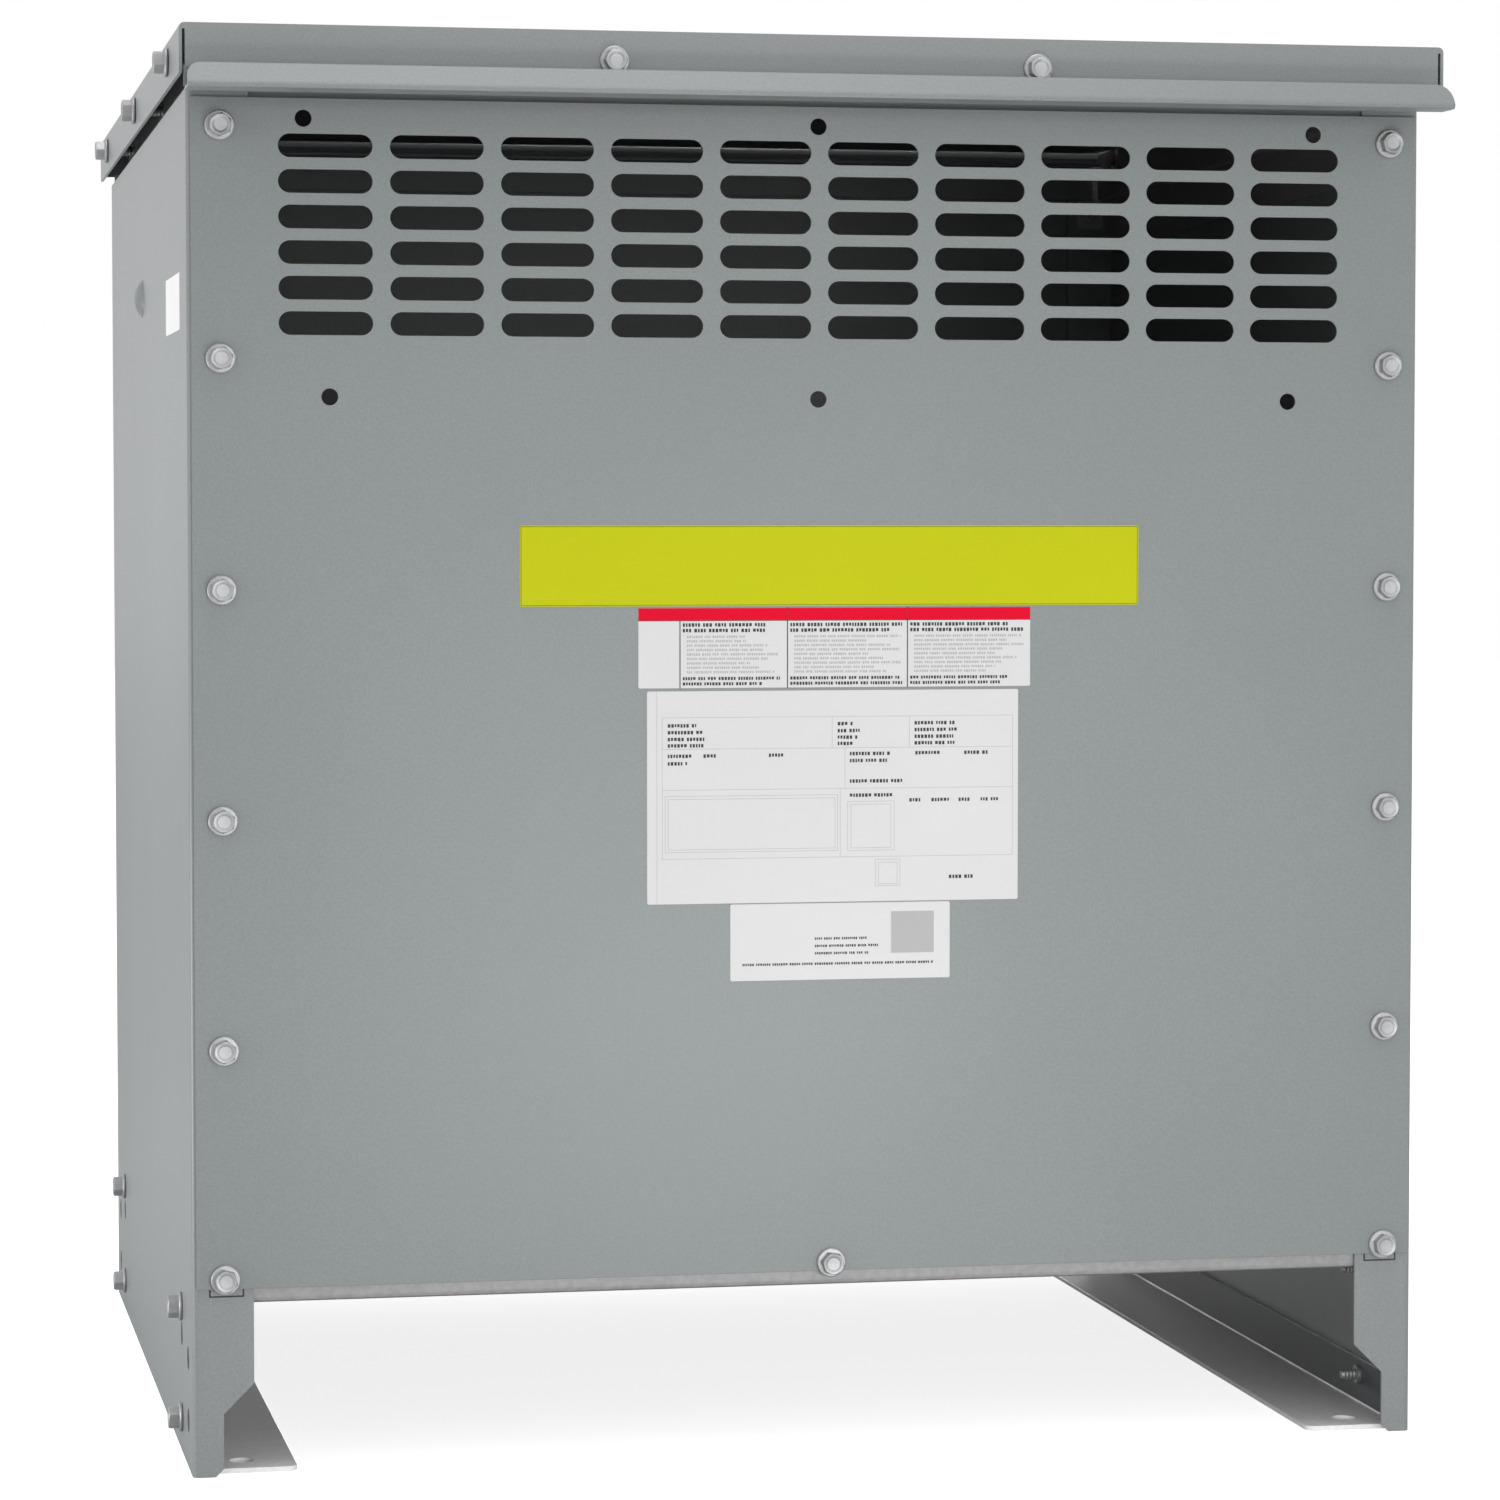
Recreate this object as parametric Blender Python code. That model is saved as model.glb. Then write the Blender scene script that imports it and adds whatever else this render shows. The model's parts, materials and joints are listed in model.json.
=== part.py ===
"""Floor-standing ventilated dry-type distribution transformer, with its core and coils inside.

Metres, +Z up. The floor is z = 0, the front faces -Y and the origin is the bottom centre of the
whole object's box. Every separate piece of the real object is one named object here.
"""
import math

import bmesh
import bpy
from mathutils import Matrix, Vector

# ---------------------------------------------------------------- driving dimensions
WIDTH = 0.610                  # over the side panels
DEPTH = 0.560                  # over the side panels' front and rear flanges
HEIGHT = 0.690                 # floor to the roof's front edge
GAP = 0.0003                   # between two pieces that touch
PAST = 0.010                   # a cutter runs this far past an open edge
SHORT_PAST = 0.002             # and this far past a sheet's face

SIDE_SHEET = 0.002             # side panels, rails and headers
COVER_SHEET = 0.0015           # cover and the front and rear panels
ANGLE_SHEET = 0.0023           # foot angles
BEND = 0.001                   # inside radius of a fold

COVER_REACH = 0.023            # cover beyond the front and rear flanges
COVER_OVERHANG = 0.0047        # cover beyond each side panel
ROOF_FALL = 0.0085             # the roof drops this much from front to rear
FRONT_SKIRT = 0.0208           # height of the cover's front and rear flanges
SIDE_SKIRT = 0.0235            # height of the cover's side flanges
CORNER_SLIT = 0.0013           # open slit between front and side flanges
LIP_REACH = 0.024              # lip beyond the cover's front flange
LIP_SLOPE = math.radians(50)   # the lip's front, below level
LIP_DROP = 0.0125              # lip's full height
LIP_RETURN = 0.019             # underside of the lip, folded back
LIP_CORNER = 0.007             # rounded upper ends of the lip
LIP_INSET = 0.0022             # lip ends, inside the cover's sides
LIP_BEND = 0.0004              # inside radius of the lip's folds
LIP_TOP = 0.0196               # lip's top, below the roof
LIP_BACK = 0.0297              # lower edge of the lip's back leg, below the roof
LIP_PROUD = 0.0002             # back leg, proud of the flange it is welded to

SIDE_TOP = 0.662               # side panel's top edge at the front
FLANGE = 0.0294                # side panel's front and rear flanges
LEG_WIDTH = 0.0148             # what is left of a flange down at the floor
LEG_TAPER_TOP = 0.0448
LEG_CORNER = 0.004
SIDE_HOLE = 0.012
SIDE_HOLES = ((0.067, 0.0585), (0.0275, 0.053), (0.0275, 0.0227))   # from the edge, height

PANEL_MARGIN = 0.002           # front and rear panels, in from the side panels
PANEL_BOTTOM = 0.0907
PANEL_TOP = 0.6575             # passes just under the lip
SCREW_INSET = 0.01575          # panel screws, in from the side
SCREW_TOP = 0.6441
SCREW_PITCH = 0.10977
SCREW_ROWS = 6
MIDDLE_SCREW_X = 0.0066        # bottom middle screw, off centre
MIDDLE_SCREW_Z = 0.0948

SLOT_COLUMNS = 10
SLOT_ROWS = 6
SLOT_PITCH_X = 0.05328
SLOT_PITCH_Z = 0.01679
SLOT_LENGTH = 0.0449
SLOT_HEIGHT = 0.0111
SLOT_TOP_ROW = 0.6352
SLOT_SHIFT = 0.0006            # pattern's centre, off the panel's
PILOT_HOLE = 0.008
PILOT_HOLES = ((-0.2496, 0.648), (0.0, 0.648), (0.250, 0.648),
               (-0.2375, 0.5164), (0.0, 0.5164), (0.2375, 0.5164))

SHANK = 0.006                  # screw shank diameter
SHANK_HOLE = 0.007
SHANK_LENGTH = 0.014
COVER_SHANK_LENGTH = 0.020
WASHER = 0.0143
WASHER_HEIGHT = 0.0017
HEX = 0.0098                   # across the flats
HEX_HEIGHT = 0.0052
COVER_SCREW_INSET = 0.046      # first and last cover screw, in from the flanges
COVER_SCREW_DROP = 0.0115      # below the roof

RAIL_OFFSET = 0.010            # cover rail's upright, in from the side panel's outer face
RAIL_HEIGHT = 0.030            # cover rail's foot, down the side panel
RAIL_END = 0.006               # cover rail's ends, in from the flanges

FOOT_WIDTH = 0.051             # from the side panel's outer face to the foot's inner edge
FOOT_UPSTAND = 0.025
FOOT_SETBACK = 0.0085
FOOT_CORNER = 0.005
MOUNT_HOLE = 0.012
MOUNT_HOLE_X = 0.0255          # from the side panel's outer face
MOUNT_HOLE_Y = 0.028           # from the flange's face

BASE_BOTTOM = 0.083
BASE_HEIGHT = 0.050
BASE_FLANGE = 0.030
HEADER_TOP = 0.674
HEADER_FLANGE = 0.020

CHANNEL_WIDTH = 0.060
CHANNEL_HEIGHT = 0.030
CHANNEL_SPACING = 0.260
CHANNEL_SHEET = 0.003
CHANNEL_END = 0.004            # channel's ends, in from the flanges
PAD_SIZE = 0.045
PAD_HEIGHT = 0.015

CORE_SHIFT = 0.030             # core's centre, behind the middle of the side panels
LIMB = 0.060
LIMB_PITCH = 0.150
STACK = 0.080
YOKE = 0.060
WINDOW_HEIGHT = 0.220
CLAMP_SHEET = 0.005
CLAMP_LENGTH = 0.400
CLAMP_LEG = 0.055
BOARD_CLEARANCE = 0.003         # coils to the terminal board

WINDING_HEIGHT = 0.200
FORMER_GAP = 0.003             # limb to low-voltage winding
LV_BUILD = 0.014
COOLING_DUCT = 0.008
HV_BUILD = 0.016
COIL_CORNER = 0.012
COIL_INNER_CORNER = 0.004      # smallest inside corner of a winding

BOARD_LENGTH = 0.400
BOARD_HEIGHT = 0.080
BOARD_THICKNESS = 0.008
BOARD_LAP = 0.020              # board's lower edge, below the core window's top
BUS_WIDTH = 0.025
BUS_THICKNESS = 0.004
BUS_LENGTH = 0.120
BUS_OVERHANG = 0.010           # bus bars' lower ends, below the board
BUS_PITCH = 0.105
BUS_HOLE = 0.010
STUD = 0.010
STUD_LENGTH = 0.028
GROUND_BAR = (0.110, 0.018, 0.005)
STRAP = 0.008

# ---------------------------------------------------------------- derived places
SIDE_X = WIDTH / 2
TOTAL_DEPTH = DEPTH + 2 * COVER_REACH + LIP_REACH
FRONT_Y = -TOTAL_DEPTH / 2 + LIP_REACH + COVER_REACH      # face of the front flanges
REAR_Y = FRONT_Y + DEPTH
MIDDLE_Y = (FRONT_Y + REAR_Y) / 2
COVER_X = SIDE_X + COVER_OVERHANG
COVER_FRONT = FRONT_Y - COVER_REACH
COVER_REAR = REAR_Y + COVER_REACH
INNER_X = SIDE_X - SIDE_SHEET - GAP                       # room between the side panels
CROSS_X = INNER_X - BEND                                  # ends of the base rails, clear of folds
HEADER_X = SIDE_X - RAIL_OFFSET - 2 * SIDE_SHEET - GAP    # ends of the headers, clear of the cover rails
PANEL_FACE = GAP + COVER_SHEET                            # panel's outer face, off the flange
SCREW_X = SIDE_X - SCREW_INSET
COVER_SCREWS = (COVER_SCREW_INSET, DEPTH / 2, DEPTH - COVER_SCREW_INSET)   # from the front flange
HEADER_BOTTOM = SCREW_TOP + 1.3 * SHANK_HOLE              # clear of the top screws and pilot holes

CHANNEL_BOTTOM = BASE_BOTTOM + BASE_HEIGHT + GAP
PAD_BOTTOM = CHANNEL_BOTTOM + CHANNEL_HEIGHT + GAP
CLAMP_BOTTOM = PAD_BOTTOM + PAD_HEIGHT + GAP
CORE_Y = MIDDLE_Y + CORE_SHIFT
CORE_BOTTOM = CLAMP_BOTTOM + CLAMP_SHEET + GAP
WINDOW_BOTTOM = CORE_BOTTOM + YOKE
WINDOW_TOP = WINDOW_BOTTOM + WINDOW_HEIGHT
CORE_TOP = WINDOW_TOP + YOKE
WINDING_BOTTOM = WINDOW_BOTTOM + (WINDOW_HEIGHT - WINDING_HEIGHT) / 2
CLAMP_OFFSET = STACK / 2 + GAP
COIL_REACH = FORMER_GAP + LV_BUILD + COOLING_DUCT + HV_BUILD
CLAMP_FOOT = COIL_REACH + BOARD_CLEARANCE
BOARD_REAR = CORE_Y - CLAMP_OFFSET - CLAMP_FOOT - GAP
BOARD_BOTTOM = WINDOW_TOP - BOARD_LAP
BUS_REAR = BOARD_REAR - BOARD_THICKNESS - GAP
BUS_BOTTOM = BOARD_BOTTOM - BUS_OVERHANG


def roof_z(y):
    """Height of the roof's upper face at y."""
    return HEIGHT - ROOF_FALL * (y - COVER_FRONT) / (COVER_REAR - COVER_FRONT)


def fall(y):
    """How far anything that follows the roof has dropped at y."""
    return roof_z(y) - HEIGHT


# ---------------------------------------------------------------- shapes
def clear_scene():
    for item in list(bpy.data.objects):
        bpy.data.objects.remove(item, do_unlink=True)


def paint(name, colour, roughness, metallic):
    material = bpy.data.materials.new(name)
    material.use_nodes = True
    shader = material.node_tree.nodes["Principled BSDF"]
    shader.inputs["Base Color"].default_value = (*colour, 1.0)
    shader.inputs["Roughness"].default_value = roughness
    shader.inputs["Metallic"].default_value = metallic
    return material


def add_object(name, mesh, material=None):
    piece = bpy.data.objects.new(name, mesh)
    bpy.context.scene.collection.objects.link(piece)
    if material is not None and not mesh.materials:
        mesh.materials.append(material)
    return piece


def mesh_from(name, shape):
    """Turn a bmesh into a mesh whose faces point outwards."""
    bmesh.ops.recalc_face_normals(shape, faces=shape.faces)
    mesh = bpy.data.meshes.new(name)
    shape.to_mesh(mesh)
    shape.free()
    return mesh


def place(axis, along, point):
    """A point of a section, put at a distance along the axis it is extruded on."""
    a, b = point
    if axis == "X":
        return Vector((along, a, b))
    if axis == "Y":
        return Vector((a, along, b))
    return Vector((a, b, along))


def add_prism(shape, outline, axis, low, high):
    """Extrude a closed outline, given in the two other axes, from low to high."""
    ends = [[shape.verts.new(place(axis, along, point)) for point in outline] for along in (low, high)]
    count = len(outline)
    shape.faces.new(ends[0])
    shape.faces.new(ends[1][::-1])
    for i in range(count):
        j = (i + 1) % count
        shape.faces.new((ends[0][i], ends[1][i], ends[1][j], ends[0][j]))


def add_box(shape, low, high):
    outline = [(low[0], low[1]), (high[0], low[1]), (high[0], high[1]), (low[0], high[1])]
    add_prism(shape, outline, "Z", low[2], high[2])


def prism(name, outline, axis, low, high, material):
    shape = bmesh.new()
    add_prism(shape, outline, axis, low, high)
    return add_object(name, mesh_from(name, shape), material)


def box(name, low, high, material):
    shape = bmesh.new()
    add_box(shape, low, high)
    return add_object(name, mesh_from(name, shape), material)


def follow_roof(piece):
    """Let every point of a piece drop with the roof."""
    for vertex in piece.data.vertices:
        vertex.co.z += fall(vertex.co.y)


def fold(path, thickness, steps=2, bend=BEND):
    """Section of a folded sheet. Its first face follows the path and it is thick to the left."""
    points = [Vector(point) for point in path]
    normals = []
    for start, end in zip(points, points[1:]):
        run = (end - start).normalized()
        normals.append(Vector((-run.y, run.x)))
    near = [points[0]]
    far = [points[0] + thickness * normals[0]]
    for corner, before, after in zip(points[1:], normals, normals[1:]):
        turn = before.angle_signed(after)
        inward = turn < 0                     # angle_signed is positive clockwise
        radius = bend + thickness if inward else -bend
        centre = corner + (before + after) * radius / (1 + before.dot(after))
        for i in range(steps + 1):
            normal = before.copy()
            normal.rotate(Matrix.Rotation(-turn * i / steps, 2))
            near.append(centre - normal * radius)
            far.append(centre - normal * (radius - thickness))
    near.append(points[-1])
    far.append(points[-1] + thickness * normals[-1])
    return [tuple(point) for point in near + far[::-1]]


def circle(centre, diameter, count=12):
    step = 2 * math.pi / count
    return [(centre[0] + diameter / 2 * math.cos(step * (i + 0.5)),
             centre[1] + diameter / 2 * math.sin(step * (i + 0.5))) for i in range(count)]


def obround(centre, length, height, steps=3):
    """A slot with round ends, lying along the first axis."""
    reach = (length - height) / 2
    points = []
    for side, start in ((1, -math.pi / 2), (-1, math.pi / 2)):
        for i in range(steps + 1):
            angle = start + math.pi * i / steps
            points.append((centre[0] + side * reach + height / 2 * math.cos(angle),
                           centre[1] + height / 2 * math.sin(angle)))
    return points


def rounded(width, depth, radius, centre, steps=3):
    """A rectangle with rounded corners."""
    points = []
    for quarter, (sx, sy) in enumerate(((1, 1), (-1, 1), (-1, -1), (1, -1))):
        for i in range(steps + 1):
            angle = math.pi / 2 * (quarter + i / steps)
            points.append((centre[0] + sx * (width / 2 - radius) + radius * math.cos(angle),
                           centre[1] + sy * (depth / 2 - radius) + radius * math.sin(angle)))
    return points


def combine(target, shape, operation, label="holes"):
    """Cut a shape from a piece, or weld it on; the shape stays as a hidden guide."""
    name = target.name + "_" + label
    guide = add_object(name, mesh_from(name, shape))
    guide.hide_render = True
    guide.display_type = "WIRE"
    boolean = target.modifiers.new(label, "BOOLEAN")
    boolean.operation = operation
    boolean.solver = "EXACT"
    boolean.object = guide
    return guide


def carry(name, location, pieces):
    """Parent the pieces of one moving body to an empty on its joint."""
    empty = bpy.data.objects.new(name, None)
    bpy.context.scene.collection.objects.link(empty)
    empty.location = location
    bpy.context.view_layer.update()
    for piece in pieces:
        piece.parent = empty
        piece.matrix_parent_inverse = empty.matrix_world.inverted()


# ---------------------------------------------------------------- fasteners
def ring(shape, height, count, radius_at):
    points = []
    for i in range(count):
        angle = 2 * math.pi * i / count
        radius = radius_at(angle)
        points.append(shape.verts.new((radius * math.cos(angle), radius * math.sin(angle), height)))
    return points


def screw_mesh(name, shank_length, material):
    """Hexagon screw with a washer under its head, head up, seat at z = 0."""
    count = 12

    def round_at(diameter):
        return lambda angle: diameter / 2

    def hex_at(flats):
        sector = math.pi / 3
        return lambda angle: flats / 2 / math.cos((angle + sector / 2) % sector - sector / 2)

    levels = ((-shank_length, round_at(SHANK)),
              (0.0, round_at(SHANK)),
              (0.0, round_at(WASHER)),
              (WASHER_HEIGHT, round_at(WASHER)),
              (WASHER_HEIGHT, hex_at(HEX)),
              (WASHER_HEIGHT + HEX_HEIGHT, hex_at(HEX)))
    shape = bmesh.new()
    rings = [ring(shape, height, count, radius_at) for height, radius_at in levels]
    for lower, upper in zip(rings, rings[1:]):
        for i in range(count):
            j = (i + 1) % count
            shape.faces.new((lower[i], lower[j], upper[j], upper[i]))
    shape.faces.new(rings[0][::-1])
    shape.faces.new(rings[-1])
    mesh = mesh_from(name, shape)
    mesh.materials.append(material)
    mesh.shade_smooth()
    mesh.set_sharp_from_angle(angle=math.radians(30))
    return mesh


def screw(name, mesh, location, head):
    """Place a screw with its head pointing along head."""
    piece = add_object(name, mesh)
    piece.location = location
    piece.rotation_euler = Vector((0, 0, 1)).rotation_difference(Vector(head)).to_euler()
    return piece


# ---------------------------------------------------------------- enclosure
def side_panel(name, side, material):
    """Folded wall with front and rear flanges that run down into the legs."""
    outer, inner = side * SIDE_X, side * (SIDE_X - FLANGE)
    path = [(inner, FRONT_Y), (outer, FRONT_Y), (outer, REAR_Y), (inner, REAR_Y)]
    if side < 0:
        path.reverse()
    piece = prism(name, fold(path, SIDE_SHEET, steps=3), "Z", 0.0, HEIGHT, material)

    shape = bmesh.new()
    far = side * (SIDE_X + PAST)
    near = side * (SIDE_X - FLANGE - PAST)
    ends = (FRONT_Y - PAST, REAR_Y + PAST)
    slope = [(y, SIDE_TOP + fall(y)) for y in ends] + [(y, HEIGHT + PAST) for y in ends[::-1]]
    add_prism(shape, slope, "X", min(far, near), max(far, near))
    leg = side * (SIDE_X - LEG_WIDTH)
    taper_low = LEG_TAPER_TOP - (FLANGE - LEG_WIDTH)
    relief = [(near, -PAST), (near, LEG_TAPER_TOP + PAST), (leg, taper_low), (leg, LEG_CORNER),
              (leg + side * LEG_CORNER, 0.0), (leg + side * LEG_CORNER, -PAST)]
    reach = SIDE_SHEET + BEND + SHORT_PAST
    for low in (FRONT_Y - PAST, REAR_Y - reach):
        add_prism(shape, relief, "Y", low, low + PAST + reach)
    wall = (side * (SIDE_X - SIDE_SHEET - SHORT_PAST), side * (SIDE_X + SHORT_PAST))
    for inset, height in SIDE_HOLES:
        for y in (FRONT_Y + inset, REAR_Y - inset):
            add_prism(shape, circle((y, height), SIDE_HOLE), "X", min(wall), max(wall))
    for i in range(SCREW_ROWS):
        z = SCREW_TOP - i * SCREW_PITCH
        add_prism(shape, circle((side * SCREW_X, z), SHANK_HOLE, 8), "Y",
                  FRONT_Y - SHORT_PAST, FRONT_Y + SIDE_SHEET + SHORT_PAST)
    combine(piece, shape, "DIFFERENCE")
    return piece


def cover_rail(name, side, material):
    """Stepped rail along the top of a side panel, which carries the cover."""
    wall = side * INNER_X
    upright = side * (SIDE_X - RAIL_OFFSET)
    top = HEIGHT - COVER_SHEET - GAP
    path = [(wall, SIDE_TOP - RAIL_HEIGHT), (wall, SIDE_TOP), (upright, SIDE_TOP), (upright, top)]
    if side > 0:
        section = fold(path, SIDE_SHEET)
    else:
        section = fold(path[::-1], SIDE_SHEET)
    piece = prism(name, section, "Y", FRONT_Y + RAIL_END, REAR_Y - RAIL_END, material)
    follow_roof(piece)

    shape = bmesh.new()
    for inset in COVER_SCREWS:
        y = FRONT_Y + inset
        bottom = roof_z(y) - COVER_SCREW_DROP
        arc = circle((y, bottom), SHANK_HOLE, 8)
        lower = [point for point in arc if point[1] < bottom]
        slot = lower + [(y + SHANK_HOLE / 2, HEIGHT), (y - SHANK_HOLE / 2, HEIGHT)]
        ends = (upright - side * (SIDE_SHEET + SHORT_PAST), upright + side * SHORT_PAST)
        add_prism(shape, slot, "X", min(ends), max(ends))
    combine(piece, shape, "DIFFERENCE")
    return piece


def top_cover(material):
    """Lid with a falling roof, four flanges, open corner slits and a formed lip at the front."""
    shape = bmesh.new()
    add_prism(shape, cover_section(0.0), "Y", COVER_FRONT, COVER_REAR)
    piece = add_object("top_cover", mesh_from("top_cover", shape), material)
    follow_roof(piece)

    hollow = bmesh.new()
    add_prism(hollow, cover_section(COVER_SHEET), "Y",
              COVER_FRONT + COVER_SHEET, COVER_REAR - COVER_SHEET)
    for vertex in hollow.verts:
        vertex.co.z += fall(vertex.co.y)
    combine(piece, hollow, "DIFFERENCE", "hollow")

    slits, skirts = bmesh.new(), bmesh.new()
    slit_outer = COVER_X - COVER_SHEET
    slit_inner = slit_outer - CORNER_SLIT
    past = 2 * SHORT_PAST
    deep = 2 * SIDE_SKIRT
    for y in (COVER_FRONT, COVER_REAR):
        top = roof_z(y) - 2 * COVER_SHEET
        for side in (-1, 1):
            ends = sorted((side * slit_outer, side * slit_inner))
            add_box(slits, (ends[0], y - past, top - deep), (ends[1], y + past, top))
        skirt = roof_z(y) - FRONT_SKIRT
        add_box(skirts, (-slit_outer, y - past, skirt - deep), (slit_outer, y + past, skirt))
    combine(piece, slits, "DIFFERENCE", "slits")
    combine(piece, skirts, "DIFFERENCE", "skirts")

    lip = bmesh.new()
    top = HEIGHT - LIP_TOP
    low = top - LIP_DROP
    nose = COVER_FRONT - LIP_REACH
    back = COVER_FRONT + COVER_SHEET - LIP_PROUD
    nose_radius = LIP_BEND + COVER_SHEET
    corner = nose - nose_radius * (1 / math.tan(LIP_SLOPE / 2) - 1)
    path = [(back, HEIGHT - LIP_BACK), (back, top), (corner + LIP_DROP / math.tan(LIP_SLOPE), top),
            (corner, low), (nose + LIP_RETURN, low)]
    end = COVER_X - LIP_INSET
    add_prism(lip, fold(path, COVER_SHEET, 3, LIP_BEND), "X", -end, end)
    lip_guide = combine(piece, lip, "UNION", "lip")
    corners = bmesh.new()
    for side in (-1, 1):
        outline = [(side * (end - LIP_CORNER), top + SHORT_PAST),
                   (side * (end + SHORT_PAST), top + SHORT_PAST),
                   (side * (end + SHORT_PAST), top - LIP_CORNER)]
        for i in range(5):
            angle = math.pi / 2 * i / 4
            outline.append((side * (end - LIP_CORNER + LIP_CORNER * math.cos(angle)),
                            top - LIP_CORNER + LIP_CORNER * math.sin(angle)))
        add_prism(corners, outline, "Y", nose - SHORT_PAST, COVER_FRONT + COVER_SHEET / 4)
    combine(lip_guide, corners, "DIFFERENCE", "corners")
    return piece


def cover_section(inset):
    """Cover's outline across its width, or the hollow under it when inset."""
    half = COVER_X - inset
    top = HEIGHT - inset
    radius = BEND + COVER_SHEET - inset
    bottom = HEIGHT - SIDE_SKIRT - (PAST if inset else 0.0)
    points = [(-half, bottom), (half, bottom)]
    for side, start in ((1, 0.0), (-1, math.pi / 2)):
        for i in range(4):
            angle = start + math.pi / 2 * i / 3
            points.append((side * (half - radius) + radius * math.cos(angle),
                           top - radius + radius * math.sin(angle)))
    return points


def front_panel(material):
    """Flat ventilated panel: rows of slots, pilot holes and screw holes."""
    half = SIDE_X - PANEL_MARGIN
    faces = (FRONT_Y - PANEL_FACE, FRONT_Y - GAP)
    piece = box("front_panel", (-half, faces[0], PANEL_BOTTOM), (half, faces[1], PANEL_TOP), material)
    shape = bmesh.new()
    low, high = faces[0] - SHORT_PAST, faces[1] + SHORT_PAST
    for column in range(SLOT_COLUMNS):
        x = SLOT_SHIFT + (column - (SLOT_COLUMNS - 1) / 2) * SLOT_PITCH_X
        for row in range(SLOT_ROWS):
            z = SLOT_TOP_ROW - row * SLOT_PITCH_Z
            add_prism(shape, obround((x, z), SLOT_LENGTH, SLOT_HEIGHT), "Y", low, high)
    for centre in PILOT_HOLES:
        add_prism(shape, circle(centre, PILOT_HOLE, 10), "Y", low, high)
    for x, z in front_screw_places():
        if z - PANEL_BOTTOM < SHANK_HOLE:
            notch = [(x - SHANK_HOLE / 2, PANEL_BOTTOM - PAST), (x + SHANK_HOLE / 2, PANEL_BOTTOM - PAST)]
            notch += [point for point in circle((x, z), SHANK_HOLE, 8) if point[1] > z]
            add_prism(shape, notch, "Y", low, high)
        else:
            add_prism(shape, circle((x, z), SHANK_HOLE, 8), "Y", low, high)
    combine(piece, shape, "DIFFERENCE")
    return piece


def front_screw_places():
    places = []
    for side in (-1, 1):
        for i in range(SCREW_ROWS):
            places.append((side * SCREW_X, SCREW_TOP - i * SCREW_PITCH))
    places.append((MIDDLE_SCREW_X, MIDDLE_SCREW_Z))
    return places


def rear_panel(material):
    half = SIDE_X - PANEL_MARGIN
    top = roof_z(COVER_REAR) - FRONT_SKIRT - GAP
    return box("rear_panel", (-half, REAR_Y + GAP, PANEL_BOTTOM), (half, REAR_Y + PANEL_FACE, top), material)


def cross_section(name, path, face, inward, half, material):
    """Folded rail across the enclosure; its path runs from the face inwards, as (depth, height)."""
    points = [(face + inward * depth, height) for depth, height in path]
    if inward < 0:
        points.reverse()
    return prism(name, fold(points, SIDE_SHEET), "X", -half, half, material)


def header(name, face, inward, material):
    """Angle behind a panel's top edge, level with the cover."""
    path = [(HEADER_FLANGE, HEADER_TOP), (0.0, HEADER_TOP), (0.0, HEADER_BOTTOM)]
    return cross_section(name, path, face, inward, HEADER_X, material)


def base_rail(name, face, inward, material):
    """Channel under the core, open to the inside."""
    top = BASE_BOTTOM + BASE_HEIGHT
    path = [(BASE_FLANGE, top), (0.0, top), (0.0, BASE_BOTTOM), (BASE_FLANGE, BASE_BOTTOM)]
    piece = cross_section(name, path, face, inward, CROSS_X, material)
    if inward > 0:
        shape = bmesh.new()
        for x, z in front_screw_places():
            if z < top:
                add_prism(shape, circle((x, z), SHANK_HOLE, 8), "Y",
                          face - SHORT_PAST, face + SIDE_SHEET + SHORT_PAST)
        combine(piece, shape, "DIFFERENCE")
    return piece


def foot_angle(name, side, material):
    """Angle inside a side panel's bottom edge, with the two floor bolt holes."""
    wall = side * INNER_X
    inner = side * (SIDE_X - FOOT_WIDTH)
    path = [(inner, 0.0), (wall, 0.0), (wall, FOOT_UPSTAND)]
    if side < 0:
        path.reverse()
    piece = prism(name, fold(path, ANGLE_SHEET), "Y", FRONT_Y + FOOT_SETBACK, REAR_Y - FOOT_SETBACK, material)
    through = (-SHORT_PAST, ANGLE_SHEET + SHORT_PAST)
    shape = bmesh.new()
    for edge, inward in ((FRONT_Y, 1), (REAR_Y, -1)):
        centre = (side * (SIDE_X - MOUNT_HOLE_X), edge + inward * MOUNT_HOLE_Y)
        add_prism(shape, circle(centre, MOUNT_HOLE), "Z", *through)
        corner_x = inner + side * FOOT_CORNER
        corner_y = edge + inward * (FOOT_SETBACK + FOOT_CORNER)
        arc = []
        for i in range(4):
            angle = math.pi / 2 * i / 3
            arc.append((corner_x - side * FOOT_CORNER * math.cos(angle),
                        corner_y - inward * FOOT_CORNER * math.sin(angle)))
        beyond = (inner - side * SHORT_PAST, edge + inward * (FOOT_SETBACK - SHORT_PAST))
        outline = [(beyond[0], corner_y)] + arc + [(corner_x, beyond[1]), beyond]
        add_prism(shape, outline, "Z", *through)
    combine(piece, shape, "DIFFERENCE")
    return piece


# ---------------------------------------------------------------- core and coils
def support_channel(name, x, material):
    """Channel from the front base rail to the rear one, open side down."""
    half = CHANNEL_WIDTH / 2
    bottom, top = CHANNEL_BOTTOM, CHANNEL_BOTTOM + CHANNEL_HEIGHT
    path = [(x + half, bottom), (x + half, top), (x - half, top), (x - half, bottom)]
    return prism(name, fold(path, CHANNEL_SHEET), "Y", FRONT_Y + CHANNEL_END, REAR_Y - CHANNEL_END, material)


def isolator_pad(name, x, y, material):
    half = PAD_SIZE / 2
    top = PAD_BOTTOM + PAD_HEIGHT
    return box(name, (x - half, y - half, PAD_BOTTOM), (x + half, y + half, top), material)


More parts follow.
